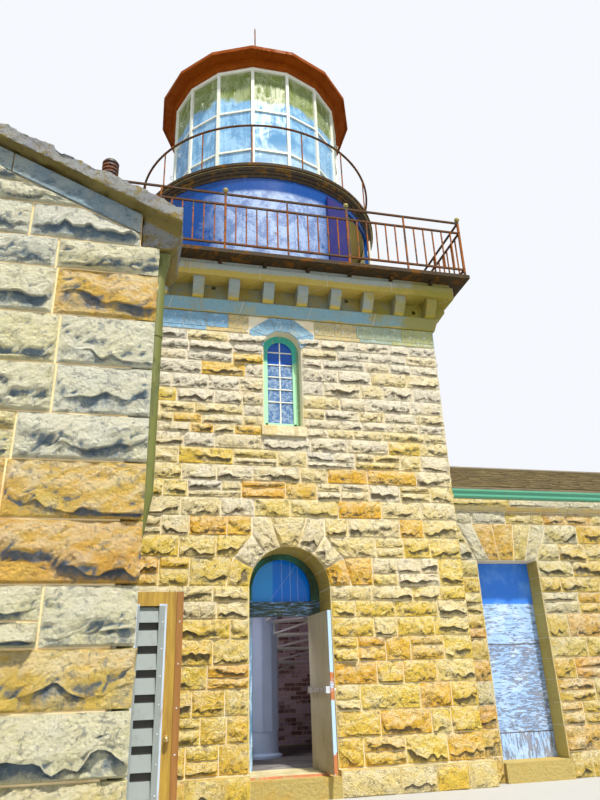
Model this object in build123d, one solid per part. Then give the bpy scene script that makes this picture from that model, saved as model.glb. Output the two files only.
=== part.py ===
from build123d import *
import os
from math import cos, degrees, radians, sin, tan

os.makedirs("parts", exist_ok=True)

# A stone lighthouse in millimetres. The origin is on the ground under the tower's centre, the door
# faces -Y, +X is to the right of somebody who looks at the door, and +Z is up.

# Ground floor level and the masonry of the square tower
floor_top = 250
tower_half = 2547
tower_wall = 750
tower_wall_top = 6670
plinth_height = 300
plinth_reach = 110

# Tower doorway, its frame and its leaf
door_half = 564
door_springing = 2490
door_reveal = 597
frame_depth = 120
frame_opening_half = 430
transom_bottom = 2180
transom_top = 2360
transom_reach = 15
fanlight_rise = 52
threshold_setback = 40
threshold_thick = 27
glass_thick = 8
leaf_thick = 45
door_gap = 6
door_open_angle = 94
hinge_radius = 8
hinge_length = 110
hinge_heights = (450, 1230, 2010)
hinge_play = 0.3
fit_play = 0.3
lock_height = 1215
lock_plate_tall = 260
lock_plate_wide = 90
lock_plate_thick = 6
lock_plate_inset = 10
lever_length = 130
lever_radius = 9
lever_standoff = 45
hinge_plate_wide = 30
push_bar_tall = 44
push_bar_thick = 24
push_bar_foot = 40
push_bar_end = 120

# Arched upper window
window_x = -35
window_half = 300
window_sill_top = 4820
window_springing = 6145
window_reveal = 180
window_frame_depth = 90
window_frame_wide = 55
sill_tall = 150
sill_reach = 60
sill_ear = 40

# Central column and spiral stair
column_radius = 300
column_foot_radius = 360
column_foot_tall = 70
stair_radius = 1100
stair_start_angle = -105
treads_per_turn = 12
riser_count = 36
tread_thick = 35
tread_gap = 3
bracket_deep = 185
bracket_thick = 30
bracket_bar = 28
bracket_top_bar = 12
bracket_end = 40
stairwell_radius = 1200
landing_angle = 50

# String course, frieze, modillions, cornice and gallery deck
string_tall = 198
string_reach_low = 41
string_reach_top = 97
frieze_reach = 20
modillion_count = 10
modillion_wide = 170
modillion_reach = 255
modillion_nose = 110
modillion_foot_reach = 120
frieze_tall = 291
putlog_size = 65
putlog_deep = 120
putlog_holes = ((-1130, 7120), (1070, 7110), (2250, 7000))
cornice_reach = 322
cornice_thick = 235
cornice_bevel = 30
blocking_reach = 285
blocking_tall = 52
deck_thick = 66
deck_reach = 548
stub_count = 8
stub_wide = 60
stub_tall = 90
stub_reach = 120

# Railing of the square gallery
rail_inset = 52
rail_bays = 6
post_size = 34
thin_post_size = 26
rail_size = 30
baluster_size = 20
balusters_per_bay = 5
rail_low_rise = 148
rail_mid_rise = 898
rail_top_rise = 1108
finial_radius = 44
finial_neck = 26
finial_seat = 0.8

# Iron watch room under the lantern
watch_radius = 2350
watch_wall = 60
watch_tall = 2168
watch_plates = 8
plate_seam = 2
watch_door_start = -53
watch_door_end = -27
watch_door_head = 120
watch_leaf_wide = 545
watch_leaf_thick = 40
watch_leaf_gap = 12
watch_leaf_foot = 25
watch_hinge_inset = 300
watch_hinge_tall = 120
watch_hinge_wide = 32
watch_hinge_sunk = 35
watch_leaf_turn = 0.5
gallery_reach = 133
gallery_edge = 75
gallery_rise = 240
gallery_lip = 20
moulding_steps = 3
moulding_inset = 25
moulding_flat = 0.55
moulding_start = 0.4
moulding_spread = 0.35
round_post_inset = 69
round_post_radius = 13
round_rail_rise = 960
round_rail_radius = 22
round_rail_sides = 8
round_flange_radius = 40
round_flange_thick = 14

# Sixteen-sided lantern, its roof, vent ball and rod
lantern_sides = 16
lantern_radius = 1850
curb_height = 60
curb_reach = 55
curb_inner_reach = 40
mullion_wide = 62
mullion_deep = 85
bar_rises = (940, 1960)
bar_tall = 40
bar_deep = 50
bar_setback = 8
head_rise = 3025
head_tall = 75
head_reach = 10
pane_thick = 10
pane_play = 0.3
pane_setback = 35
soffit_rise = 205
eave_reach = 306
eave_lip = 60
eave_drip = 20
eave_lip_thick = 30
soffit_thick = 40
soffit_inner_reach = 30
soffit_rings = ((60, 1.0), (20, 0.5))
roof_rise = 980
roof_thick = 45
roof_crown_radius = 240
vent_collar_inset = 20
vent_collar_tall = 40
vent_neck_radius = 150
vent_neck_tall = 230
vent_ball_radius = 300
vent_ball_seat = 0.8
vent_ball_sunk = 0.85
rod_radius = 16
rod_foot_radius = 38
rod_foot_tall = 60
rod_taper = 20
rod_sunk = 6
rod_length = 1550
rod_point = 90

# Low wings: eaves, roofs and copings are alike on both
wing_wall = 450
wing_eave = 3940
wing_pitch = 24
roof_cover = 98
roof_overhang = 60
course_bottom = 3650
course_top = 3820
course_reach = 80
course_bevel = 50
gutter_deep = 130
gutter_wall = 12
gutter_drop = 15
gutter_lip = 30
gutter_waist = 25
gutter_hollow = 35
gutter_flat = 0.55
coping_thick = 130
coping_above_roof = 71
coping_overhang = 120
coping_reach = 265
kneeler_bottom = 3870
kneeler_reach = 250
kneeler_foot_reach = 200
kneeler_bevel = 60

# Right wing and its boarded doorway
right_wing_long = 5453
wing_setback = 117
boarded_inset = 328
boarded_wide = 1000
boarded_left = tower_half + boarded_inset
boarded_right = boarded_left + boarded_wide
boarded_top = 2900
boarded_sill_top = 240
boarded_reveal = 290
boarded_thick = 40
boarded_sill_reach = 70

# Left wing: its gable faces the front, and it laps over a part of the tower's front
left_wing_lap = 447
left_wing_wide = 4900
left_wing_right = -(tower_half - left_wing_lap)
left_wing_left = left_wing_right - left_wing_wide
left_wing_front = -8000

left_floor_top = 40

# Louvred door in the left wing's side wall
louvre_inset = 513
louvre_opening_wide = 690
louvre_opening_back = -(tower_half + louvre_inset)
louvre_opening_front = louvre_opening_back - louvre_opening_wide
louvre_top = 2346
louvre_frame_wide = 40
louvre_frame_deep = 110
louvre_foot_gap = 10
louvre_leaf_thick = 45
louvre_hinge_stile = 95
louvre_lock_stile = 200
louvre_rail_tall = 150
louvre_lap = 20
louvre_metal_wide = 85
louvre_metal_hinge_side = 45
louvre_metal_thick = 6
louvre_cover_wide = 72
louvre_cover_thick = 12
louvre_slats = 8
louvre_slat_thick = 6
louvre_slat_tall = 165
louvre_slat_tilt = 12
louvre_slat_drop = 13
louvre_screen_thick = 3
louvre_open_angle = 90
knob_height = 810
knob_inset = 131
knob_radius = 30
knob_rose_radius = 34
knob_rose_thick = 8
knob_neck_radius = 12
knob_standoff = 45

# Downspout and vent pipe
downspout_radius = 40
downspout_inset = 100
downspout_y = left_wing_front + downspout_inset
downspout_low_x = left_wing_right + 65
downspout_high_x = left_wing_right + 125
downspout_bend_low = 1950
downspout_bend_top = 2300
hopper_top = 3865
hopper_tall = 165
hopper_wide = 130
clip_heights = (600, 1700, 3300)
clip_wide = 60
clip_tall = 35
clip_thick = 4
vent_x = left_wing_right - 300
vent_y = left_wing_front + 700
vent_radius = 50
vent_top = 5140
vent_ribs = 6
vent_rib_reach = 14
vent_rib_tall = 14
vent_rib_pitch = 34
vent_crown = 20
vent_foot_sunk = 60


def block(x0, x1, y0, y1, z0, z1):
    """A box between two corners."""
    centre = Pos((x0 + x1) / 2, (y0 + y1) / 2, (z0 + z1) / 2)
    return centre * Box(abs(x1 - x0), abs(y1 - y0), abs(z1 - z0))


def along_y(outline, y0, y1):
    """A prism with an outline of (x, z) points, from y0 to y1."""
    face = make_face(Polyline(*[(x, y0, z) for x, z in outline], close=True))
    return extrude(face, amount=y1 - y0, dir=(0, 1, 0))


def along_x(outline, x0, x1):
    """A prism with an outline of (y, z) points, from x0 to x1."""
    face = make_face(Polyline(*[(x0, y, z) for y, z in outline], close=True))
    return extrude(face, amount=x1 - x0, dir=(1, 0, 0))


def upright(radius, z0, z1, x=0, y=0):
    """A round bar that stands on z0."""
    return Pos(x, y, (z0 + z1) / 2) * Cylinder(radius, z1 - z0)


def square_ring(outer, inner, z0, z1):
    """A square frame about the tower's axis."""
    return block(-outer, outer, -outer, outer, z0, z1) - block(-inner, inner, -inner, inner, z0, z1)


def turned(outline):
    """A shape turned about the tower's axis from (radius, z) points."""
    face = make_face(Polyline(*[(r, 0, z) for r, z in outline], close=True))
    return revolve(face, axis=Axis.Z, revolution_arc=360)


def arch_cutter(half, springing, bottom, y0, y1, x=0):
    """The space under a round arch, through a wall that faces -Y."""
    head = Pos(x, (y0 + y1) / 2, springing) * Rot(90, 0, 0) * Cylinder(half, y1 - y0)
    below = block(x - half - 1, x + half + 1, y0 - 1, y1 + 1, bottom - 2 * half, bottom)
    return head + block(x - half, x + half, y0, y1, bottom, springing) - below


def many_sided(radius, z0, z1):
    """A prism with the lantern's sides, one of them square to the front."""
    outline = Rot(0, 0, 180 / lantern_sides) * RegularPolygon(radius, lantern_sides)
    return Pos(0, 0, z0) * extrude(outline, amount=z1 - z0)


def polar(radius, angle, z=0):
    """A point by its radius and its angle in degrees from +X."""
    return (radius * cos(radians(angle)), radius * sin(radians(angle)), z)


def solids(*shapes):
    """Separate solids kept together as one piece of the building."""
    found = [solid for shape in shapes for solid in shape.solids()]
    return Compound(children=found)


def save(name, shape):
    export_step(shape, f"parts/{name}.step")


# Sizes that follow from the ones above
wall_inner = tower_half - tower_wall
fanlight_springing = door_springing + fanlight_rise
string_top = tower_wall_top + string_tall
cornice_bottom = string_top + frieze_tall
deck_bottom = cornice_bottom + cornice_thick + blocking_tall
deck_top = deck_bottom + deck_thick
deck_half = tower_half + deck_reach
rail_line = deck_half - rail_inset
rail_heights = (deck_top + rail_low_rise, deck_top + rail_mid_rise, deck_top + rail_top_rise)
watch_top = deck_top + watch_tall
watch_door_top = watch_top - watch_door_head
gallery_radius = watch_radius + gallery_reach
gallery_top = watch_top + gallery_rise
round_post_line = gallery_radius - round_post_inset
round_rail_top = gallery_top + round_rail_rise
bar_heights = (gallery_top + bar_rises[0], gallery_top + bar_rises[1])
head_bottom = gallery_top + head_rise
glazing_top = head_bottom + head_tall
eave_bottom = glazing_top + soffit_rise
eave_radius = lantern_radius + eave_reach
side_angle = 360 / lantern_sides
flat_ratio = cos(radians(side_angle / 2))
slope = tan(radians(wing_pitch))
right_wing_half = tower_half - wing_setback
right_wing_end = tower_half + right_wing_long
left_wing_middle = (left_wing_left + left_wing_right) / 2
left_wing_half = (left_wing_right - left_wing_left) / 2
left_wing_back = right_wing_half


# Floors and base course

def make_floors():
    tower = block(-wall_inner, wall_inner, -wall_inner, wall_inner, 0, floor_top)
    right = block(tower_half, right_wing_end - wing_wall, -right_wing_half + wing_wall,
                  right_wing_half - wing_wall, 0, floor_top)
    left = block(left_wing_left + wing_wall, min(left_wing_right - wing_wall, -tower_half),
                 left_wing_front + wing_wall, left_wing_back - wing_wall, 0, left_floor_top)
    return solids(tower, right, left)


def make_plinth():
    face = tower_half + plinth_reach
    front_left = block(left_wing_right, -door_half, -face, -tower_half, 0, plinth_height)
    front_right = block(door_half, face, -face, -tower_half, 0, plinth_height)
    front_right += block(tower_half, face, -tower_half, -right_wing_half, 0, plinth_height)
    back = block(-face, face, tower_half, face, 0, plinth_height)
    back += block(tower_half, face, right_wing_half, tower_half, 0, plinth_height)
    back += block(-face, -tower_half, left_wing_back, tower_half, 0, plinth_height)
    return solids(front_left, front_right, back)


# Tower walls

def window_hole(y0, y1):
    return arch_cutter(window_half, window_springing, window_sill_top, y0, y1, window_x)


def sill_box():
    """The sill stone under the front window."""
    half = window_half + sill_ear
    return block(window_x - half, window_x + half, -tower_half - sill_reach,
                 -tower_half + window_reveal + window_frame_depth, window_sill_top - sill_tall,
                 window_sill_top)


def turn_to_back(shape):
    """The same thing on the tower's back."""
    return Rot(0, 0, 180) * shape


def make_tower_walls():
    left_pier = block(-tower_half, -door_half, -tower_half, -wall_inner, 0, tower_wall_top)
    right_pier = block(door_half, tower_half, -tower_half, -wall_inner, 0, tower_wall_top)
    save("tower_front_piers", solids(left_pier, right_pier))

    over = block(-door_half, door_half, -tower_half, -wall_inner, door_springing, tower_wall_top)
    over -= arch_cutter(door_half, door_springing, 0, -tower_half - 1, -wall_inner + 1)
    over -= window_hole(-tower_half - 1, -wall_inner + 1)
    over -= sill_box()
    save("tower_front_over_door", over)

    right_side = block(wall_inner, tower_half, -wall_inner, wall_inner, 0, tower_wall_top)
    save("tower_side_walls", solids(right_side, turn_to_back(right_side)))

    back = block(-tower_half, tower_half, wall_inner, tower_half, 0, tower_wall_top)
    back -= turn_to_back(window_hole(-tower_half - 1, -wall_inner + 1))
    back -= turn_to_back(sill_box())
    save("tower_back_wall", back)


def make_windows():
    front = -tower_half + window_reveal
    back = front + window_frame_depth
    outer = arch_cutter(window_half, window_springing, window_sill_top, front, back, window_x)
    pane_half = window_half - window_frame_wide
    inner = arch_cutter(pane_half, window_springing, window_sill_top + window_frame_wide,
                        front - 1, back + 1, window_x)
    frame = outer - inner
    middle = (front + back) / 2
    pane = arch_cutter(pane_half, window_springing, window_sill_top + window_frame_wide,
                       middle - glass_thick / 2, middle + glass_thick / 2, window_x)
    save("window_frames", solids(frame, turn_to_back(frame)))
    save("window_glass", solids(pane, turn_to_back(pane)))
    save("window_sills", solids(sill_box(), turn_to_back(sill_box())))


# Tower doorway

frame_front = -tower_half + door_reveal
frame_back = frame_front + frame_depth
threshold_top = floor_top + threshold_thick / 2
hinge_x = frame_opening_half - door_gap / 2
hinge_y = frame_front - hinge_radius - 1


def make_doorway():
    step = block(-door_half, door_half, -tower_half - plinth_reach, -wall_inner, 0,
                 threshold_top - threshold_thick)
    save("door_step", step)

    threshold = block(-door_half, door_half, -tower_half + threshold_setback, frame_back,
                      threshold_top - threshold_thick, threshold_top)
    outer = arch_cutter(door_half, door_springing, threshold_top, frame_front, frame_back)
    leaf_space = block(-frame_opening_half, frame_opening_half, frame_front - 1, frame_back + 1,
                       threshold_top, transom_bottom)
    fan_space = arch_cutter(frame_opening_half, fanlight_springing, transom_top,
                            frame_front - 1, frame_back + 1)
    frame = outer - leaf_space - fan_space
    frame += block(-frame_opening_half, frame_opening_half, frame_front - transom_reach,
                   frame_front, transom_bottom, transom_top)
    for height in hinge_heights:
        frame += frame_knuckle(height)
    save("door_frame", solids(frame, threshold))

    middle = (frame_front + frame_back) / 2
    fanlight = arch_cutter(frame_opening_half, fanlight_springing, transom_top,
                           middle - glass_thick / 2, middle + glass_thick / 2)
    save("fanlight_glass", fanlight)


def frame_knuckle(height):
    """Lower half of a hinge, on the frame's face."""
    knuckle = upright(hinge_radius, height - hinge_length / 2, height, hinge_x, hinge_y)
    plate = block(hinge_x, frame_opening_half + hinge_plate_wide, hinge_y - 1, frame_front,
                  height - hinge_length / 2, height)
    return knuckle + plate


def closed_tower_leaf():
    """The leaf as it stands shut, with the upper halves of its hinges."""
    left = -frame_opening_half + door_gap
    right = frame_opening_half - door_gap
    leaf = block(left, right, frame_front, frame_front + leaf_thick,
                 threshold_top + door_gap, transom_bottom - door_gap)
    for height in hinge_heights:
        low = height + hinge_play
        leaf += upright(hinge_radius, low, height + hinge_length / 2, hinge_x, hinge_y)
        leaf += block(right - hinge_plate_wide, hinge_x, hinge_y - 1, frame_front, low,
                      height + hinge_length / 2)
    return leaf


def closed_tower_latch():
    """Lock plate and lever on the outside of the shut leaf, and a push bar inside."""
    middle = -frame_opening_half + door_gap + lock_plate_wide / 2 + lock_plate_inset
    plate = block(middle - lock_plate_wide / 2, middle + lock_plate_wide / 2,
                  frame_front - lock_plate_thick, frame_front,
                  lock_height - lock_plate_tall / 2, lock_height + lock_plate_tall / 2)
    neck = Pos(middle, frame_front - lever_standoff / 2, lock_height) * Rot(90, 0, 0)
    outside = plate + neck * Cylinder(lever_radius, lever_standoff)
    outside += Pos(middle + lever_length / 2, frame_front - lever_standoff, lock_height) * (
        Rot(0, 90, 0) * Cylinder(lever_radius, lever_length))
    inner_face = frame_front + leaf_thick
    bar_ends = (middle, frame_opening_half - push_bar_end)
    bar_y = inner_face + lever_standoff
    bar_back = bar_y + push_bar_thick / 2
    inside = block(bar_ends[0], bar_ends[1], bar_y - push_bar_thick / 2, bar_back,
                   lock_height - push_bar_tall / 2, lock_height + push_bar_tall / 2)
    for end in bar_ends:
        inside += block(end - push_bar_foot, end + push_bar_foot, inner_face, bar_back,
                        lock_height - push_bar_foot, lock_height + push_bar_foot)
    return solids(outside, inside)


def swing(shape, x, y, angle):
    """Turn a shape about an upright line."""
    return Pos(x, y, 0) * Rot(0, 0, angle) * Pos(-x, -y, 0) * shape


def make_tower_door():
    save("tower_door", swing(closed_tower_leaf(), hinge_x, hinge_y, door_open_angle))
    save("tower_door_latch", swing(closed_tower_latch(), hinge_x, hinge_y, door_open_angle))


# Stair

def make_stair():
    lantern_floor = gallery_top - gallery_edge
    column = turned([(0, floor_top), (column_foot_radius, floor_top),
                     (column_foot_radius, floor_top + column_foot_tall / 2),
                     (column_radius, floor_top + column_foot_tall),
                     (column_radius, lantern_floor), (0, lantern_floor)])
    save("stair_column", column)

    rise = (deck_top - floor_top) / riser_count
    turn = 360 / treads_per_turn
    treads = []
    for number in range(1, riser_count):
        top = floor_top + number * rise
        angle = stair_start_angle - number * turn
        treads.append(make_tread(angle, turn, top))
    save("stair_treads", solids(*treads))


def make_tread(angle, turn, top):
    """A wedge of a tread with an open, three-cornered bracket under its middle."""
    inner = column_radius + fit_play
    half = turn / 2 - degrees(tread_gap / stair_radius)
    under = top - tread_thick
    plate = ring_piece(stair_radius, inner, under, top, angle - half, angle + half)
    seat = inner + 1
    end = stair_radius - bracket_end
    low = max(under - bracket_deep, floor_top + column_foot_tall + fit_play)
    inside = top - tread_thick / 2
    web = along_y([(seat, inside), (seat, low), (end, under - bracket_bar), (end, inside)],
                  -bracket_thick / 2, bracket_thick / 2)
    steep = (under - bracket_bar - low) / (end - seat)
    hole_top = under - bracket_top_bar
    hole_low = low + bracket_bar + steep * bracket_bar
    hole_end = seat + bracket_bar + (hole_top - hole_low) / steep
    web -= along_y([(seat + bracket_bar, hole_top), (seat + bracket_bar, hole_low),
                    (hole_end, hole_top)], -bracket_thick, bracket_thick)
    return plate + Rot(0, 0, angle) * web


# String course, frieze, modillions and cornice

def make_string_course():
    low = tower_half + string_reach_low
    top = tower_half + string_reach_top
    base = Pos(0, 0, tower_wall_top) * Rectangle(2 * low, 2 * low)
    head = Pos(0, 0, string_top) * Rectangle(2 * top, 2 * top)
    course = loft([base.face(), head.face()])
    course -= block(-wall_inner, wall_inner, -wall_inner, wall_inner, tower_wall_top - 1, string_top + 1)
    save("string_course", course)


def make_frieze():
    frieze = square_ring(tower_half + frieze_reach, wall_inner, string_top, cornice_bottom)
    face = -(tower_half + frieze_reach)
    half = putlog_size / 2
    for x, z in putlog_holes:
        frieze -= block(x - half, x + half, face - 1, face + putlog_deep, z - half, z + half)
    save("frieze", frieze)


def modillion_places():
    """Centres along one face, the last ones flush with the corners of the frieze."""
    last = tower_half + frieze_reach - modillion_wide / 2
    step = 2 * last / (modillion_count - 1)
    return [-last + number * step for number in range(modillion_count)]


def make_modillions():
    face = -(tower_half + frieze_reach)
    nose_bottom = cornice_bottom - modillion_nose
    outline = [(face, cornice_bottom), (face - modillion_reach, cornice_bottom),
               (face - modillion_reach, nose_bottom), (face - modillion_foot_reach, string_top),
               (face, string_top)]
    row = [along_x(outline, x - modillion_wide / 2, x + modillion_wide / 2)
           for x in modillion_places()]
    save("modillions", solids(*[Rot(0, 0, quarter * 90) * modillion for quarter in range(4)
                                for modillion in row]))


def make_cornice():
    """Cornice slab with a hollow under its edge, and the thin blocking course on it."""
    outer = tower_half + cornice_reach
    top = cornice_bottom + cornice_thick
    slab = square_ring(outer, wall_inner, cornice_bottom, top)
    slab = chamfer(slab.edges().filter_by(Axis.Z, reverse=True).group_by(Axis.Z)[-1].filter_by(
        lambda edge: max(abs(edge.center().X), abs(edge.center().Y)) > outer - 1), cornice_bevel)
    blocking = square_ring(tower_half + blocking_reach, wall_inner, top, deck_bottom)
    save("cornice", slab + blocking)


def make_deck():
    deck = block(-deck_half, deck_half, -deck_half, deck_half, deck_bottom, deck_top)
    well = upright(stairwell_radius, deck_bottom - 1, deck_top + 1)
    last = stair_start_angle - riser_count * 360 / treads_per_turn
    reach = 2 * stairwell_radius
    landing = make_face(Polyline((0, 0), polar(reach, last - landing_angle)[:2],
                                 polar(reach, last - landing_angle / 2)[:2],
                                 polar(reach, last + 180 / treads_per_turn)[:2], close=True))
    well -= Pos(0, 0, deck_bottom - 2) * extrude(landing, amount=deck_top - deck_bottom + 4)
    well += upright(column_radius, deck_bottom - 1, deck_top + 1)
    deck -= well
    save("gallery_deck", deck)

    face = -(tower_half + blocking_reach)
    step = 2 * (tower_half + blocking_reach) / stub_count
    outline = [(face, deck_bottom), (face - stub_reach, deck_bottom),
               (face - stub_reach, deck_bottom - stub_tall / 3), (face, deck_bottom - stub_tall / 2)]
    stubs = []
    for number in range(stub_count):
        x = (number + 0.5) * step + face
        stub = along_x(outline, x - stub_wide / 2, x + stub_wide / 2)
        stubs += [Rot(0, 0, quarter * 90) * stub for quarter in range(4)]
    save("deck_brackets", solids(*stubs))


# Railings

def railing_side():
    """The front panel: posts, three rails and balusters. It owns the post at its left end."""
    bay = 2 * rail_line / rail_bays
    low, middle, top = rail_heights
    panel = None
    for number in range(rail_bays):
        x = -rail_line + number * bay
        thick = number % 2 == 0
        size = post_size if thick else thin_post_size
        post = block(x - size / 2, x + size / 2, -rail_line - size / 2, -rail_line + size / 2,
                     deck_top, top + (finial_neck if thick else 0))
        panel = post if panel is None else panel + post
        if thick:
            panel += Pos(x, -rail_line, top + finial_neck + finial_radius * finial_seat) * (
                Sphere(finial_radius))
        for place in range(1, balusters_per_bay + 1):
            at = x + bay * place / (balusters_per_bay + 1)
            panel += block(at - baluster_size / 2, at + baluster_size / 2,
                           -rail_line - baluster_size / 2, -rail_line + baluster_size / 2,
                           low, middle)
    for height in rail_heights:
        panel += block(-rail_line, rail_line - post_size / 2, -rail_line - rail_size / 2,
                       -rail_line + rail_size / 2, height - rail_size, height)
    return panel


def make_square_railing():
    side = railing_side()
    for quarter, name in enumerate(("front", "right", "back", "left")):
        save(f"gallery_railing_{name}", Rot(0, 0, quarter * 90) * side)


def make_round_railing():
    """A post at each mullion carries one length of the rail, with a seam from length to length."""
    middle = round_rail_top - round_rail_radius
    step = 360 / round_rail_sides
    corners = [polar(round_rail_radius, step * (corner + 0.5)) for corner in range(round_rail_sides)]
    outline = [(round_post_line + across, 0, middle + up) for across, up, _ in corners]
    seam = degrees(plate_seam / round_post_line)
    turn = side_angle - seam
    rail = revolve(make_face(Polyline(*outline, close=True)), axis=Axis.Z, revolution_arc=turn)
    x, y, _ = polar(round_post_line, turn / 2)
    length = rail + upright(round_post_radius, gallery_top, middle, x, y)
    length += upright(round_flange_radius, gallery_top, gallery_top + round_flange_thick, x, y)
    save("lantern_railing", solids(*[Rot(0, 0, number * side_angle + seam / 2) * length
                                     for number in range(lantern_sides)]))


# Watch room

def ring_piece(outer, inner, z0, z1, start, end):
    """Part of a round wall between two angles in degrees."""
    face = make_face(Polyline(*[(r, 0, z) for r, z in ((inner, z0), (outer, z0), (outer, z1),
                                                       (inner, z1))], close=True))
    return Rot(0, 0, start) * revolve(face, axis=Axis.Z, revolution_arc=end - start)


def make_watch_room():
    inner = watch_radius - watch_wall
    seam = degrees(plate_seam / watch_radius)
    door_angle = watch_door_end - watch_door_start
    plate = (360 - door_angle) / watch_plates
    plates = []
    for number in range(watch_plates):
        start = watch_door_end + number * plate
        plates.append(ring_piece(watch_radius, inner, deck_top, watch_top,
                                 start + seam / 2, start + plate - seam / 2))
    plates.append(ring_piece(watch_radius, inner, watch_door_top, watch_top,
                             watch_door_start + seam / 2, watch_door_end - seam / 2))
    save("watch_room_wall", solids(*plates))

    leaf_angle = degrees(watch_leaf_wide / watch_radius)
    places = (watch_door_start - leaf_angle / 2 - watch_leaf_turn,
              watch_door_end + leaf_angle / 2 + watch_leaf_turn)
    leaves = []
    for angle in places:
        leaf_back = watch_radius + watch_leaf_gap
        leaf = block(leaf_back, leaf_back + watch_leaf_thick, -watch_leaf_wide / 2,
                     watch_leaf_wide / 2, deck_top + watch_leaf_foot, watch_door_top)
        outward = -1 if angle < watch_door_start else 1
        hinge_edge = -outward * (watch_leaf_wide - watch_hinge_wide) / 2
        for height in (deck_top + watch_hinge_inset, watch_door_top - watch_hinge_inset):
            leaf += block(watch_radius - watch_hinge_sunk, leaf_back + watch_leaf_thick / 2,
                          hinge_edge - watch_hinge_wide / 2, hinge_edge + watch_hinge_wide / 2,
                          height - watch_hinge_tall / 2, height + watch_hinge_tall / 2)
        leaves.append(Rot(0, 0, angle) * leaf)
    leaves = [leaf - upright(watch_radius + fit_play, deck_top, watch_top) for leaf in leaves]
    save("watch_room_doors", solids(*leaves))


def make_watch_cornice():
    """Stepped iron mouldings that spread from the drum to the round gallery's edge."""
    under = gallery_top - gallery_edge
    inner = watch_radius - watch_wall
    reach = gallery_reach - moulding_inset
    rise = (under - watch_top) / moulding_steps
    outline = [(inner, watch_top)]
    for step in range(moulding_steps):
        radius = watch_radius + reach * (step + moulding_start) / moulding_steps
        low = watch_top + step * rise
        outline += [(radius, low), (radius, low + rise * moulding_flat),
                    (radius + reach * moulding_spread / moulding_steps, low + rise)]
    outline += [(inner, under)]
    save("watch_room_cornice", turned(outline))


def make_lantern_deck():
    under = gallery_top - gallery_edge
    save("lantern_gallery_deck", turned([(0, under), (gallery_radius - gallery_lip, under),
                                         (gallery_radius, under + gallery_lip),
                                         (gallery_radius, gallery_top), (0, gallery_top)]))


# Lantern

def make_lantern():
    """Curb, panes, and a frame of sixteen panels that meet in the middle of each mullion."""
    curb_top = gallery_top + curb_height
    outer = lantern_radius + curb_reach
    inner = lantern_radius - mullion_deep - curb_inner_reach
    curb = many_sided(outer, gallery_top, curb_top) - many_sided(inner, gallery_top, curb_top)
    save("lantern_curb", curb)

    frame = many_sided(lantern_radius + head_reach, head_bottom, glazing_top)
    frame -= many_sided(lantern_radius - mullion_deep, head_bottom - 1, glazing_top + 1)
    bar_outer = lantern_radius - bar_setback
    for height in bar_heights:
        bar = many_sided(bar_outer, height - bar_tall / 2, height + bar_tall / 2)
        bar -= many_sided(bar_outer - bar_deep, height - bar_tall, height + bar_tall)
        frame += bar
    for number in range(lantern_sides):
        angle = (number + 0.5) * side_angle
        mullion = block(lantern_radius - mullion_deep, lantern_radius, -mullion_wide / 2,
                        mullion_wide / 2, curb_top, head_bottom)
        frame += Rot(0, 0, angle) * mullion
    seam = block(inner, outer, -plate_seam / 2, plate_seam / 2, curb_top - 1, glazing_top + 1)
    frame -= [Rot(0, 0, (number + 0.5) * side_angle) * seam for number in range(lantern_sides)]
    save("lantern_frame", solids(frame))

    flat = (lantern_radius - pane_setback) * flat_ratio
    half_turn = radians(side_angle / 2)
    half = (flat - pane_thick) * tan(half_turn) - mullion_wide / 2 / cos(half_turn) - pane_play
    levels = [curb_top, *bar_heights, head_bottom]
    panes = []
    for number in range(lantern_sides):
        for low, high in zip(levels, levels[1:]):
            bottom = low + (bar_tall / 2 if low in bar_heights else 0)
            top = high - (bar_tall / 2 if high in bar_heights else 0)
            pane = block(flat - pane_thick, flat, -half, half, bottom, top)
            panes.append(Rot(0, 0, number * side_angle) * pane)
    save("lantern_glass", solids(*panes))


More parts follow.
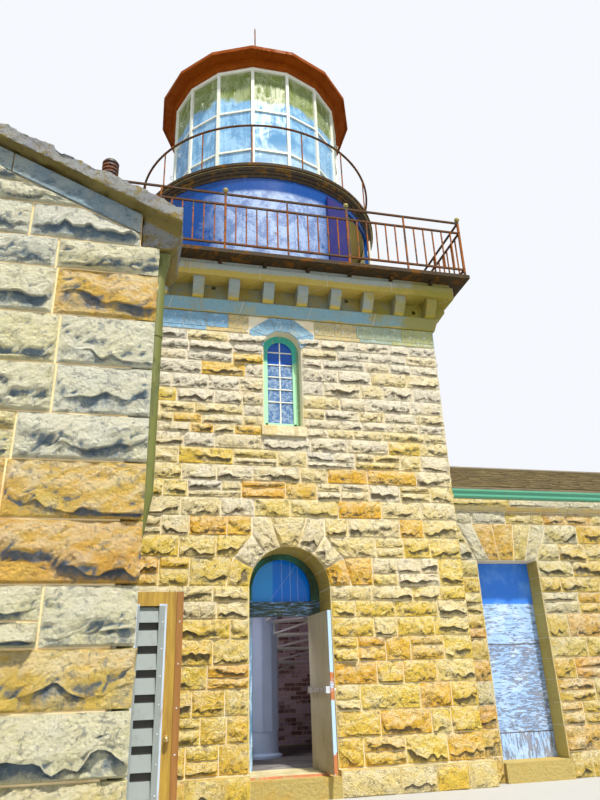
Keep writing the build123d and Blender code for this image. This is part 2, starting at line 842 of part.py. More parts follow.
def make_lantern_roof():
    """Soffit with two moulded rings, the eave lip, and the hollow many-sided roof over it."""
    soffit_inner = lantern_radius - mullion_deep - soffit_inner_reach
    lip_inner = eave_radius - eave_lip_thick
    soffit = many_sided(lip_inner, eave_bottom, eave_bottom + soffit_thick)
    soffit -= many_sided(soffit_inner, eave_bottom - 1, eave_bottom + soffit_thick + 1)
    rise = eave_bottom - glazing_top
    for ring_reach, share in soffit_rings:
        ring = many_sided(lantern_radius + ring_reach, glazing_top + rise * (1 - share), eave_bottom)
        ring -= many_sided(soffit_inner, glazing_top - 1, eave_bottom + 1)
        soffit += ring
    lip = many_sided(eave_radius, eave_bottom - eave_drip, eave_bottom + eave_lip)
    lip -= many_sided(lip_inner, eave_bottom - eave_drip - 1, eave_bottom + eave_lip + 1)
    save("lantern_eave", soffit + lip)

    foot = eave_bottom + eave_lip
    save("lantern_roof", roof_shell(eave_radius, foot, roof_crown_radius, foot + roof_rise)
         - roof_shell(eave_radius - roof_thick * 2.4, foot - 1, roof_crown_radius - roof_thick,
                      foot + roof_rise - roof_thick))

    neck_foot = foot + roof_rise
    ball_centre = neck_foot + vent_neck_tall + vent_ball_radius * vent_ball_sunk
    collar = roof_crown_radius - vent_collar_inset
    neck_top = ball_centre - vent_ball_radius * vent_ball_seat
    vent = turned([(0, neck_foot), (collar, neck_foot), (collar, neck_foot + vent_collar_tall),
                   (vent_neck_radius, neck_foot + 2 * vent_collar_tall),
                   (vent_neck_radius, neck_top), (0, neck_top)])
    vent += Pos(0, 0, ball_centre) * Sphere(vent_ball_radius)
    save("roof_vent", vent)

    rod_foot = ball_centre + vent_ball_radius
    rod_top = rod_foot + rod_length
    collar_top = rod_foot + rod_foot_tall
    rod = turned([(0, rod_foot - rod_sunk), (rod_foot_radius, rod_foot - rod_sunk),
                  (rod_foot_radius, collar_top), (rod_radius, collar_top + rod_taper),
                  (rod_radius, rod_top - rod_point), (0, rod_top)])
    rod -= Pos(0, 0, ball_centre) * Sphere(vent_ball_radius + fit_play)
    save("lightning_rod", rod)


def roof_shell(radius, z0, crown, z1):
    turn = Rot(0, 0, side_angle / 2)
    foot = Pos(0, 0, z0) * turn * RegularPolygon(radius, lantern_sides)
    head = Pos(0, 0, z1) * turn * RegularPolygon(crown, lantern_sides)
    return loft([foot.face(), head.face()], ruled=True)


# Wings

def roof_outline(half, low_side=True, high_side=True):
    """Both slopes of a wing's roof about its ridge, as (across, z) points."""
    edge = half + roof_overhang
    ridge = wing_eave + half * slope
    low = wing_eave - roof_overhang * slope
    return [(-edge, low), (0, ridge), (edge, low), (edge, low + roof_cover),
            (0, ridge + roof_cover), (-edge, low + roof_cover)]


def coping_line(half, across):
    """Height of the coping's underside at a distance from the ridge."""
    return wing_eave + (half - abs(across)) * slope + roof_cover + coping_above_roof


def gable_outline(half):
    """A gable wall up to the underside of its coping, as (across, z) points."""
    return [(-half, 0), (half, 0), (half, coping_line(half, half)), (0, coping_line(half, 0)),
            (-half, coping_line(half, half))]


def coping_outline(half):
    """The two raking copings in one, cut plumb at their feet."""
    reach = half + coping_reach
    rise = coping_thick / cos(radians(wing_pitch))
    foot = coping_line(half, reach)
    ridge = coping_line(half, 0)
    return [(-reach, foot), (0, ridge), (reach, foot), (reach, foot + rise), (0, ridge + rise),
            (-reach, foot + rise)]


def kneeler_outline(half):
    """The stone that carries the coping's foot, beside the wall."""
    tip = half + kneeler_reach
    return [(half, kneeler_bottom), (half + kneeler_foot_reach, kneeler_bottom),
            (tip, kneeler_bottom + kneeler_bevel), (tip, coping_line(half, tip)),
            (half, coping_line(half, half))]


def wall_outline(half):
    """A long wall under the roof's slope, as (across, z) points."""
    return [(half, 0), (half, wing_eave), (half - wing_wall, wing_eave + wing_wall * slope),
            (half - wing_wall, 0)]


def mirrored(outline):
    return [(-across, z) for across, z in outline]


def moved(outline, by):
    return [(across + by, z) for across, z in outline]


def gutter_outline(half):
    """An ogee gutter outside the wall, open at its top."""
    top = wing_eave - gutter_drop
    low = course_top
    out = half + gutter_deep
    waist = out - gutter_waist
    lip = top + gutter_lip
    inside = half + gutter_wall
    flat_end = half + gutter_deep * gutter_flat
    return [(half, top), (half, low), (flat_end, low), (waist, low + gutter_hollow),
            (waist, lip - 2 * gutter_waist), (out, lip - gutter_waist), (out, lip),
            (out - gutter_wall, lip), (out - gutter_wall, lip - gutter_waist + gutter_wall / 2),
            (waist - gutter_wall, lip - 2 * gutter_waist + gutter_wall / 2),
            (waist - gutter_wall, low + gutter_hollow + gutter_wall / 2),
            (flat_end - gutter_wall / 2, low + gutter_wall), (inside, low + gutter_wall), (inside, top)]


def course_outline(half):
    """The eaves course, with a bevelled lower edge."""
    return [(half, course_bottom), (half + course_reach / 2, course_bottom),
            (half + course_reach, course_bottom + course_bevel), (half + course_reach, course_top),
            (half, course_top)]


def make_right_wing():
    half = right_wing_half
    inner_end = right_wing_end - wing_wall
    front = mirrored(wall_outline(half))
    wall = along_x(front, tower_half, inner_end)
    opening = block(boarded_left, boarded_right, -half - 1, -half + wing_wall + 1, -1,
                    wing_eave + wing_wall)
    save("right_wing_front_wall", wall - opening)
    lintel = along_x(front, boarded_left, boarded_right)
    lintel -= block(boarded_left - 1, boarded_right + 1, -half - 1, -half + wing_wall + 1, -1,
                    boarded_top)
    save("right_wing_lintel", lintel)
    save("right_wing_back_wall", along_x(wall_outline(half), tower_half, inner_end))
    save("right_wing_end_wall", along_x(gable_outline(half), inner_end, right_wing_end))
    save("right_wing_roof", along_x(roof_outline(half), tower_half, inner_end))

    panel_face = -half + boarded_reveal
    sill = block(boarded_left, boarded_right, -half - boarded_sill_reach, -half + wing_wall, 0,
                 boarded_sill_top)
    panel = block(boarded_left, boarded_right, panel_face, panel_face + boarded_thick,
                  boarded_sill_top, boarded_top)
    save("boarded_doorway", panel)
    save("boarded_doorway_sill", sill)


def left_wing_slopes():
    """The left wing's roof, cut back where it meets the tower."""
    back_inner = left_wing_back - wing_wall
    roof = along_y(moved(roof_outline(left_wing_half), left_wing_middle),
                   left_wing_front + wing_wall, back_inner)
    return roof - block(-tower_half, left_wing_right + roof_overhang + 1, -tower_half,
                        back_inner + 1, 0, tower_wall_top)


def make_left_wing():
    half = left_wing_half
    middle = left_wing_middle
    front_inner = left_wing_front + wing_wall
    back_inner = left_wing_back - wing_wall
    gable = moved(gable_outline(half), middle)
    front = along_y(gable, left_wing_front, front_inner)
    back = along_y(gable, back_inner, left_wing_back)
    back -= block(-tower_half, left_wing_right + 1, back_inner - 1, left_wing_back + 1, -1,
                  wing_eave + half)
    save("left_wing_gable_walls", solids(front, back))

    right = moved(wall_outline(half), middle)
    right_front = along_y(right, front_inner, louvre_opening_front)
    right_back = along_y(right, louvre_opening_back, -tower_half)
    left = along_y(moved(mirrored(wall_outline(half)), middle), front_inner, back_inner)
    save("left_wing_side_walls", solids(right_front, right_back, left))
    lintel = along_y(right, louvre_opening_front, louvre_opening_back)
    lintel -= block(left_wing_right - wing_wall - 1, left_wing_right + 1, louvre_opening_front - 1,
                    louvre_opening_back + 1, -1, louvre_top)
    save("left_wing_lintel", lintel)

    save("left_wing_roof", left_wing_slopes())


def make_copings():
    out = coping_overhang
    front = along_y(moved(coping_outline(left_wing_half), left_wing_middle),
                    left_wing_front - out, left_wing_front + wing_wall + out / 2)
    for outline in (kneeler_outline(left_wing_half), mirrored(kneeler_outline(left_wing_half))):
        front += along_y(moved(outline, left_wing_middle), left_wing_front,
                         left_wing_front + wing_wall)
    back = along_y(moved(coping_outline(left_wing_half), left_wing_middle),
                   left_wing_back - wing_wall - out / 2, left_wing_back + out)
    back += along_y(moved(mirrored(kneeler_outline(left_wing_half)), left_wing_middle),
                    left_wing_back - wing_wall, left_wing_back)
    back -= block(-tower_half, 0, left_wing_back - wing_wall - out, left_wing_back + out + 1, 0,
                  tower_wall_top)
    end = along_x(coping_outline(right_wing_half), right_wing_end - wing_wall - out / 2,
                  right_wing_end + out)
    for outline in (kneeler_outline(right_wing_half), mirrored(kneeler_outline(right_wing_half))):
        end += along_x(outline, right_wing_end - wing_wall, right_wing_end)
    save("wing_copings", solids(front, back, end))


def make_eaves():
    """Eaves courses and gutters along the wings' long walls."""
    courses = []
    gutters = []
    for make, found in ((course_outline, courses), (gutter_outline, gutters)):
        right = make(right_wing_half)
        stop = right_wing_end - wing_wall
        found.append(along_x(mirrored(right), tower_half, stop))
        found.append(along_x(right, tower_half, stop))
        left = make(left_wing_half)
        front = left_wing_front + wing_wall
        found.append(along_y(moved(left, left_wing_middle), front, -tower_half))
        found.append(along_y(moved(mirrored(left), left_wing_middle), front,
                             left_wing_back - wing_wall))
    save("eaves_courses", solids(*courses))
    save("gutters", solids(*gutters))


def make_downspout():
    """A hopper under the kneeler, and a pipe that sets back to the wall lower down."""
    wall = left_wing_right
    hopper_foot = hopper_top - hopper_tall
    pipe = upright(downspout_radius, 0, downspout_bend_low, downspout_low_x, downspout_y)
    pipe += upright(downspout_radius, downspout_bend_top, hopper_foot, downspout_high_x, downspout_y)
    round_face = Circle(downspout_radius)
    bend = [(Pos(x, downspout_y, z) * round_face).face()
            for x, z in ((downspout_low_x, downspout_bend_low), (downspout_high_x, downspout_bend_top))]
    pipe += loft(bend)
    foot_face = Pos(downspout_high_x, downspout_y, hopper_foot) * round_face
    mouth_face = Pos(downspout_high_x, downspout_y, hopper_top) * Rectangle(hopper_wide, hopper_wide)
    pipe += loft([foot_face.face(), mouth_face.face()])
    for height in clip_heights:
        middle_x = downspout_high_x if height > downspout_bend_top else downspout_low_x
        pipe += block(wall, middle_x, downspout_y - clip_wide / 2, downspout_y + clip_wide / 2,
                      height - clip_tall / 2, height + clip_tall / 2)
        pipe += upright(downspout_radius + clip_thick, height - clip_tall / 2,
                        height + clip_tall / 2, middle_x, downspout_y)
    save("downspout", pipe)


def make_vent_pipe():
    foot = wing_eave + (left_wing_right - vent_x) * slope + roof_cover
    pipe = upright(vent_radius, foot - vent_foot_sunk, vent_top, vent_x, vent_y)
    for number in range(vent_ribs):
        rib = vent_top - vent_crown - number * vent_rib_pitch
        pipe += upright(vent_radius + vent_rib_reach, rib - vent_rib_tall, rib, vent_x, vent_y)
    save("vent_pipe", pipe - left_wing_slopes())


# Louvred door

louvre_hinge_y = louvre_opening_front + louvre_frame_wide + door_gap / 2
louvre_hinge_x = left_wing_right + hinge_radius + 1


def make_louvre_frame():
    """A timber frame set flush with the wall's face."""
    back = left_wing_right - louvre_frame_deep
    outer = block(back, left_wing_right, louvre_opening_front, louvre_opening_back, left_floor_top,
                  louvre_top)
    inner = block(back - 1, left_wing_right + 1, louvre_opening_front + louvre_frame_wide,
                  louvre_opening_back - louvre_frame_wide, left_floor_top - 1,
                  louvre_top - louvre_frame_wide)
    frame = outer - inner
    for height in hinge_heights:
        frame += upright(hinge_radius, height - hinge_length / 2, height, louvre_hinge_x, louvre_hinge_y)
        frame += block(left_wing_right, louvre_hinge_x + 1, louvre_hinge_y - hinge_plate_wide,
                       louvre_hinge_y, height - hinge_length / 2, height)
    step = block(left_wing_right - wing_wall, left_wing_right, louvre_opening_front,
                 louvre_opening_back, 0, left_floor_top)
    save("louvre_door_frame", frame)
    save("louvre_door_step", step)


def closed_louvre_leaf(near, far):
    """Timber leaf with slats before a screen, metal strips beside them and a cover strip."""
    face = left_wing_right
    back = face - louvre_leaf_thick
    low = left_floor_top + louvre_foot_gap
    high = louvre_top - louvre_frame_wide - door_gap
    slats_near = near + louvre_hinge_stile
    slats_far = far - louvre_lock_stile
    slats_low = low + louvre_rail_tall
    slats_high = high - louvre_rail_tall
    leaf = block(back, face, near, far, low, high)
    leaf -= block(back + louvre_screen_thick, face + 1, slats_near, slats_far, slats_low, slats_high)
    strips = ((slats_near - louvre_lap, louvre_metal_hinge_side),
              (slats_far + louvre_lap - louvre_metal_wide, louvre_metal_wide))
    for start, wide in strips:
        leaf += block(face, face + louvre_metal_thick, start, start + wide, slats_low - louvre_lap,
                      slats_high + louvre_lap)
    leaf += block(face, face + louvre_cover_thick, far - louvre_cover_wide, far, low, high)
    pitch = (slats_high - slats_low) / louvre_slats
    slat_middle = face - louvre_leaf_thick / 2
    for number in range(louvre_slats):
        z = slats_high - louvre_slat_drop - louvre_slat_tall / 2 - number * pitch
        leaf += Pos(slat_middle, (slats_near + slats_far) / 2, z) * Rot(0, -louvre_slat_tilt, 0) * (
            Box(louvre_slat_thick, slats_far - slats_near, louvre_slat_tall))
    for height in hinge_heights:
        start = height + hinge_play
        leaf += upright(hinge_radius, start, height + hinge_length / 2, louvre_hinge_x, louvre_hinge_y)
        leaf += block(face, louvre_hinge_x + 1, louvre_hinge_y, near + hinge_plate_wide, start,
                      height + hinge_length / 2)
    return leaf


def make_louvre_door():
    """The leaf and its knob as they stand shut in the wall's face, then swung open."""
    near = louvre_opening_front + louvre_frame_wide + door_gap
    far = louvre_opening_back - louvre_frame_wide - door_gap
    leaf = closed_louvre_leaf(near, far)
    save("louvre_door", swing(leaf, louvre_hinge_x, louvre_hinge_y, -louvre_open_angle))

    face = left_wing_right
    centre = Pos(face, far - knob_inset, knob_height)
    rose = Pos(knob_rose_thick / 2, 0, 0) * Rot(0, 90, 0) * Cylinder(knob_rose_radius, knob_rose_thick)
    neck = Pos(knob_standoff / 2, 0, 0) * Rot(0, 90, 0) * Cylinder(knob_neck_radius, knob_standoff)
    knob = centre * (rose + neck + Pos(knob_standoff, 0, 0) * Sphere(knob_radius))
    save("louvre_door_knob", swing(knob, louvre_hinge_x, louvre_hinge_y, -louvre_open_angle))


save("floors", make_floors())
save("plinth", make_plinth())
make_tower_walls()
make_windows()
make_doorway()
make_tower_door()
make_stair()
make_string_course()
make_frieze()
make_modillions()
make_cornice()
make_deck()
make_square_railing()
make_round_railing()
make_watch_room()
make_watch_cornice()
make_lantern_deck()
make_lantern()
make_lantern_roof()
make_right_wing()
make_left_wing()
make_copings()
make_eaves()
make_downspout()
make_vent_pipe()
make_louvre_frame()
make_louvre_door()
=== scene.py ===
"""Looks for a stone lighthouse: rock-faced masonry, iron galleries, a glazed lantern and two wings."""

from itertools import pairwise
from math import cos, pi, radians, sin, sqrt, tan

import bmesh
import bpy
import numpy as np
from mathutils import Matrix, Vector


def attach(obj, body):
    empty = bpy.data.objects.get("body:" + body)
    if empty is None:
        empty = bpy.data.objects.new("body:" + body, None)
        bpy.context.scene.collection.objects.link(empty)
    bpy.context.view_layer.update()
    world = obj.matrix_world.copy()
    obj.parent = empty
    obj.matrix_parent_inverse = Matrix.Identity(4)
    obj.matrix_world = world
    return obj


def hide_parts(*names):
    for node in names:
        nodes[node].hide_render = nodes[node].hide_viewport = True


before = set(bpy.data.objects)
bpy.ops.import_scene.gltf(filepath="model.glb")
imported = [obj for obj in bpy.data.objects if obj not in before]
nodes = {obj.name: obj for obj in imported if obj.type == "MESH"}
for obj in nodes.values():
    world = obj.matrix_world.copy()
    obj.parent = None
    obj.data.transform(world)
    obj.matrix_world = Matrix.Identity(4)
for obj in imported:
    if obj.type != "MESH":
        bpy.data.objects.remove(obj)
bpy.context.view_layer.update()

# Sizes shared with the CAD, in metres
TOWER_HALF = 2.547
PLINTH_TOP = 0.30
PLINTH_FACE = TOWER_HALF + 0.11
DOOR_HALF = 0.564
DOOR_SPRINGING = 2.49
WINDOW_X = -0.035
WINDOW_HALF = 0.30
WINDOW_SPRINGING = 6.145
SILL_TOP = 4.82
SILL_BOTTOM = 4.67
SILL_HALF = 0.34
STRING_BOTTOM = 6.67
WING_HALF = 2.43
WING_EAVE = 3.94
WING_SLOPE = tan(radians(24))
ROOF_COVER = 0.098
COPING_RISE = 0.071
COURSE_BOTTOM = 3.65
RIGHT_END = 8.0
LEFT_FRONT = -8.0
LEFT_SIDE = -7.0
LEFT_INNER = -2.1
LEFT_MIDDLE = (LEFT_SIDE + LEFT_INNER) / 2
LEFT_HALF = (LEFT_INNER - LEFT_SIDE) / 2
LOUVRE_FRONT = -3.75
LOUVRE_BACK = -3.06
LOUVRE_TOP = 2.346
BOARDED_LEFT = 2.875
BOARDED_RIGHT = 3.875
BOARDED_TOP = 2.90

chance = np.random.default_rng(1889)


# Shader building

class Wire:
    """A value inside a material that takes part in plain arithmetic."""

    def __init__(self, paint, socket):
        self.paint = paint
        self.socket = socket

    def maths(self, operation, first, second):
        return self.paint.maths_node(operation, first, second)

    def __add__(self, other):
        return self.maths("ADD", self, other)

    def __radd__(self, other):
        return self.maths("ADD", other, self)

    def __sub__(self, other):
        return self.maths("SUBTRACT", self, other)

    def __rsub__(self, other):
        return self.maths("SUBTRACT", other, self)

    def __mul__(self, other):
        return self.maths("MULTIPLY", self, other)

    def __rmul__(self, other):
        return self.maths("MULTIPLY", other, self)

    def __gt__(self, other):
        return self.maths("GREATER_THAN", self, other)

    def __lt__(self, other):
        return self.maths("LESS_THAN", self, other)

    def __abs__(self):
        return self.paint.maths_node("ABSOLUTE", self)


class Paint:
    """A finish under construction: one material, its principled shader and its nodes."""

    def __init__(self, name, **constants):
        self.material = bpy.data.materials.new(name)
        self.material.use_nodes = True
        self.tree = self.material.node_tree
        self.shader = self.tree.nodes["Principled BSDF"]
        self.place = self.node("ShaderNodeTexCoord", out="Object")
        for socket, value in constants.items():
            self.shader.inputs[socket.replace("_", " ")].default_value = value

    def node(self, kind, settings=None, sockets=None, out=0):
        """Add a node: its settings first, then the values or links of its sockets."""
        made = self.tree.nodes.new(kind)
        for key, value in (settings or {}).items():
            if key == "stops":
                set_stops(made.color_ramp, value)
            else:
                setattr(made, key, value)
        for key, value in (sockets or {}).items():
            if isinstance(value, Wire):
                self.tree.links.new(value.socket, made.inputs[key])
            else:
                made.inputs[key].default_value = value
        return Wire(self, made.outputs[out])

    def stretched(self, x, y, z):
        """Object coordinates scaled along each axis."""
        return self.node("ShaderNodeMapping", None, {"Vector": self.place, "Scale": (x, y, z)})

    def noise(self, scale, detail=4, rough=0.6, place=None, twist=0.0):
        return self.node("ShaderNodeTexNoise", None, {
            "Vector": place or self.place, "Scale": scale, "Detail": detail, "Roughness": rough,
            "Distortion": twist})

    def drawn_noise(self, stretch, detail, rough, twist=0.0):
        """Noise drawn out along the axes whose scale is small, for runs, grain and flakes."""
        return self.noise(1.0, detail, rough, self.stretched(*stretch), twist)

    def cells(self, scale):
        """Distance to the nearest of many scattered points."""
        return self.node("ShaderNodeTexVoronoi", None, {"Vector": self.place, "Scale": scale}, "Distance")

    def ramp(self, value, *stops):
        """A colour ramp, or a grey one where the stops are plain numbers."""
        return self.node("ShaderNodeValToRGB", {"stops": stops}, {"Fac": value}, "Color")

    def step(self, value, low, high):
        """0 below low, 1 above high, and smooth between them."""
        return self.node("ShaderNodeMapRange", {"interpolation_type": "SMOOTHSTEP"}, {
            "Value": value, "From Min": low, "From Max": high})

    def mix(self, share, first, second):
        """Blend two colours."""
        return self.node("ShaderNodeMix", {"data_type": "RGBA"}, {
            0: share, 6: colour(first), 7: colour(second)}, 2)

    def axis(self, which):
        """One object coordinate."""
        return self.node("ShaderNodeSeparateXYZ", None, {0: self.place}, which)

    def bearing(self):
        """Angle round the tower's axis, in radians, from +X."""
        return self.maths_node("ARCTAN2", self.axis("Y"), self.axis("X"))

    def near(self, value, centre, half):
        """1 where a value lies within half of a centre, and 0 elsewhere."""
        return self.maths_node("COMPARE", value, centre, half)

    def maths_node(self, operation, *values):
        return self.node("ShaderNodeMath", {"operation": operation}, dict(enumerate(values)))

    def kept(self, name):
        """A number that the mesh carries for each of its points or faces."""
        return self.node("ShaderNodeAttribute", {"attribute_name": name}, None, "Fac")

    def feed(self, **wires):
        for socket, wire in wires.items():
            self.tree.links.new(wire.socket, self.shader.inputs[socket.replace("_", " ")])

    def bump(self, height, distance):
        self.feed(Normal=self.node("ShaderNodeBump", None, {
            "Height": height, "Distance": distance, "Strength": 1.0}, "Normal"))


def colour(value):
    """Leave wires alone and add the fourth number that a colour socket wants."""
    if isinstance(value, Wire):
        return value
    return (*value, 1.0)


def set_stops(ramp, stops):
    while len(ramp.elements) > 1:
        ramp.elements.remove(ramp.elements[-1])
    for number, (place, value) in enumerate(stops):
        stop = ramp.elements[0] if number == 0 else ramp.elements.new(place)
        stop.position = place
        stop.color = (value, value, value, 1) if isinstance(value, (int, float)) else (*value, 1)


# Finishes

def rock_finish(name, stops, shade):
    """Rock-faced sandstone: each block has its own tone, a painted highlight on its slopes that face up,
    painted shade under its ledges and on slopes that face down, pits and painted shade in small chips.
    """
    paint = Paint(name, Roughness=0.93)
    tone = paint.kept("tone")
    blotch = paint.noise(5.0, 6, 0.68)
    grain = paint.noise(55, 6, 0.8)
    base = paint.ramp(tone + (blotch - 0.5) * 0.50, *stops)
    pale = paint.step(paint.noise(3.1, 5, 0.65), 0.46, 0.66)
    base = paint.mix(pale * 0.35, base, (0.94, 0.88, 0.66))
    # painted highlight: slopes that face up are lightened towards a warm cream
    base = paint.mix(paint.kept("lit") * 0.34, base, (1.0, 0.93, 0.76))
    olive = paint.step(paint.noise(8.5, 6, 0.7), 0.58, 0.68)
    base = paint.mix(olive * 0.22, base, (0.56, 0.44, 0.22))
    # painted shade: the hollow under each ledge and the slopes that face down take the shade colour
    deep = paint.kept("hollow") + (paint.noise(15, 5, 0.75) - 0.5) * 1.4
    base = paint.mix(paint.step(deep, 0.28, 0.85) * 0.86, base, shade)
    # painted shade in small chips scattered by noise, also cut into the bump
    chips = paint.step(paint.noise(17, 8, 0.80, twist=0.7), 0.555, 0.61)
    base = paint.mix(chips * 0.44, base, shade)
    base = paint.mix(paint.step(grain, 0.60, 0.70) * 0.25, base, (0.24, 0.19, 0.10))
    paint.feed(Base_Color=base)
    pits = paint.step(paint.cells(30), 0.0, 0.45)
    paint.bump(paint.noise(13, 8, 0.80) * 1.6 + pits * 0.35 + grain * 0.5 - chips * 0.35, 0.050)
    return paint.material


def mortar_finish(name, skin, stain):
    """Pale lime mortar in the joints, with iron stains."""
    paint = Paint(name, Roughness=0.95)
    marks = paint.step(paint.noise(1.6, 5, 0.65), 0.50, 0.70)
    base = paint.mix(marks * 0.6, skin, stain)
    base = paint.mix(paint.step(paint.noise(32, 5, 0.75), 0.52, 0.72) * 0.35, base, (0.50, 0.42, 0.26))
    paint.feed(Base_Color=base)
    paint.bump(paint.noise(60, 5, 0.7), 0.006)
    return paint.material


def dressed_finish(name, cool, warm, joints=None, share=0.5, soffit=None):
    """Smooth sandstone, with blocks parted by thin pale joints where joints gives their length.
    Below the height that soffit gives it is golden, and such a course is mossy at its right end."""
    paint = Paint(name, Roughness=0.85)
    blotch = paint.noise(2.2, 6, 0.66)
    base = paint.mix(paint.step(blotch, 0.62 - share * 0.3, 0.80 - share * 0.3), cool, warm)
    if soffit:
        wave = (blotch - 0.5) * 0.12
        golden = paint.step(paint.axis("Z") + wave, soffit + 0.015, soffit - 0.015)
        base = paint.mix(golden * 0.85, base, (0.62, 0.44, 0.04))
        mossy = paint.step(paint.axis("X") + (blotch - 0.5) * 2.4, 1.4, 2.2)
        base = paint.mix(mossy * 0.85, base, (0.34, 0.29, 0.03))
    fine = paint.noise(24, 6, 0.76)
    base = paint.mix(paint.step(fine, 0.5, 0.78) * 0.5, base, (0.18, 0.16, 0.11))
    runs = paint.step(paint.drawn_noise((9, 9, 1.2), 5, 0.6), 0.52, 0.72)
    base = paint.mix(runs * 0.45, base, (0.44, 0.30, 0.08))
    height = paint.noise(12, 7, 0.75) * 1.2 + fine * 0.5
    if joints:
        along = paint.axis("X") + paint.axis("Y")
        beat = paint.maths_node("PINGPONG", along, joints)
        line = paint.step(beat, 0.005, 0.002)
        base = paint.mix(line, base, (0.80, 0.76, 0.62))
        height = height - line * 0.6
    paint.feed(Base_Color=base)
    paint.bump(height, 0.022)
    return paint.material


def block_finish():
    """Smooth blocks of several colours: blue-grey, tan and grey-green by their tone."""
    paint = Paint("dressed_blocks", Roughness=0.85)
    base = paint.ramp(paint.kept("tone") + (paint.noise(4.0, 6, 0.7) - 0.5) * 0.12,
                      (0.0, (0.20, 0.41, 0.62)), (0.30, (0.25, 0.42, 0.52)), (0.45, (0.44, 0.46, 0.21)),
                      (0.62, (0.44, 0.45, 0.19)), (0.78, (0.60, 0.49, 0.24)), (1.0, (0.66, 0.47, 0.18)))
    fine = paint.noise(26, 6, 0.78)
    base = paint.mix(paint.step(fine, 0.46, 0.62) * 0.60, base, (0.20, 0.22, 0.18))
    chalk = paint.step(paint.noise(9.0, 6, 0.75), 0.54, 0.64)
    base = paint.mix(chalk * 0.5, base, (0.62, 0.72, 0.76))
    stain = paint.step(paint.noise(3.0, 6, 0.7), 0.56, 0.70)
    base = paint.mix(stain * 0.4, base, (0.62, 0.46, 0.16))
    paint.feed(Base_Color=base)
    paint.bump(paint.noise(12, 7, 0.75) * 1.2 + fine * 0.6, 0.022)
    return paint.material


def lichen_finish():
    """Coping stones: weathered pale crust over ochre stone, mossy on their undersides, which are also
    darkened to a deep ochre as painted shade.
    """
    paint = Paint("coping_stone", Roughness=0.95)
    crust = paint.step(paint.noise(9, 8, 0.80, twist=0.5), 0.40, 0.52)
    base = paint.mix(crust, (0.46, 0.34, 0.10), (0.56, 0.57, 0.56))
    violet = paint.step(paint.noise(3.5, 6, 0.7), 0.48, 0.62)
    base = paint.mix(violet * 0.5, base, (0.46, 0.46, 0.58))
    moss = paint.step(paint.noise(5.0, 8, 0.80) + paint.kept("under") * 0.35, 0.60, 0.68)
    base = paint.mix(moss * 0.85, base, (0.56, 0.40, 0.05))
    # painted shade: faces that look down are darkened to a deep ochre, over the moss
    base = paint.mix(paint.kept("under") * 0.5, base, (0.40, 0.32, 0.08))
    fine = paint.noise(26, 8, 0.85)
    base = paint.mix(paint.step(fine, 0.54, 0.62) * 0.65, base, (0.16, 0.15, 0.13))
    spots = paint.step(paint.cells(24), 0.16, 0.08)
    base = paint.mix(spots * 0.6, base, (0.10, 0.09, 0.07))
    paint.feed(Base_Color=base)
    paint.bump(paint.noise(14, 8, 0.85) * 1.8 + fine * 0.6 - spots * 0.5, 0.07)
    return paint.material


def iron_finish(name, skin, rust, amount, gloss, shine=0.5, bands=()):
    """Painted iron with rust that comes through. bands are heights between which it has another colour."""
    paint = Paint(name, Roughness=gloss, Specular_IOR_Level=shine)
    patches = paint.noise(6, 7, 0.68, twist=0.4)
    fine = paint.noise(48, 6, 0.7)
    mask = paint.step(patches + (fine - 0.5) * 0.5, 0.62 - amount * 0.35, 0.70 - amount * 0.35)
    runs = paint.drawn_noise((26, 26, 2.0), 5, 0.6)
    mask = paint.step(mask + paint.step(runs, 0.55, 0.75) * amount, 0.35, 0.9)
    tint = paint.ramp(fine, (0.25, rust), (0.75, tuple(min(1, c * 1.9) for c in rust)))
    body = paint.mix(paint.step(fine, 0.35, 0.8) * 0.3, skin, tuple(c * 0.6 for c in skin))
    base = paint.mix(mask, body, tint)
    for low, high, share, other in bands:
        inside = (paint.axis("Z") > low) * (paint.axis("Z") < high)
        base = paint.mix(inside * share, base, other)
    paint.feed(Base_Color=base, Roughness=mask * 0.4 + gloss)
    paint.bump(fine * 0.6 + mask * 0.5, 0.004)
    return paint.material


GLARE_BEARING = -1.62
GLARE_TOP = 9.39


def navy_finish():
    """Glossy navy plates with a broad pale patch of painted glare on the side that faces the camera, which
    stops short of the top, left dark as painted shade under the gallery.
    """
    paint = Paint("navy_iron", Roughness=0.25, Coat_Weight=0.12, Coat_Roughness=0.12, Specular_IOR_Level=0.3)
    worn = paint.noise(3.2, 7, 0.72, paint.stretched(1, 1, 0.8), 0.6)
    fine = paint.noise(30, 6, 0.75)
    # painted glare, broken up by noise; grime here only varies its strength, and the top stays dark as
    # painted shade under the gallery
    off = abs(paint.bearing() - GLARE_BEARING)
    below = paint.step(paint.axis("Z"), GLARE_TOP + 0.05, GLARE_TOP - 0.05)
    patch = paint.step(off + (worn - 0.5) * 0.7, 0.54, 0.34) * below
    grime = paint.step(worn + (fine - 0.5) * 0.5, 0.40, 0.58)
    base = paint.mix(patch * (grime * 0.65 + 0.35), (0.006, 0.060, 0.27), (0.34, 0.45, 0.68))
    specks = paint.step(paint.noise(90, 3, 0.6), 0.64, 0.7)
    base = paint.mix(specks * 0.5, base, (0.40, 0.48, 0.62))
    rust = paint.step(paint.noise(5, 6, 0.7), 0.68, 0.74)
    base = paint.mix(rust, base, (0.20, 0.09, 0.05))
    paint.feed(Base_Color=base, Roughness=patch * 0.3 + 0.2)
    paint.bump(paint.noise(2.5, 2, 0.5) + fine * 0.12, 0.008)
    return paint.material


LEAF_BEARING = -0.7


def leaf_finish():
    """The watch room's folded leaves: one dark violet-blue, the other cream."""
    paint = Paint("watch_room_leaves", Roughness=0.35)
    dirt = paint.step(paint.noise(7, 6, 0.7), 0.48, 0.70)
    dark = paint.mix(dirt * 0.6, (0.022, 0.016, 0.15), (0.05, 0.04, 0.12))
    pale = paint.mix(dirt * 0.5, (0.78, 0.76, 0.62), (0.56, 0.50, 0.28))
    paint.feed(Base_Color=paint.mix(paint.bearing() > LEAF_BEARING, dark, pale))
    paint.bump(paint.noise(20, 5, 0.7), 0.003)
    return paint.material


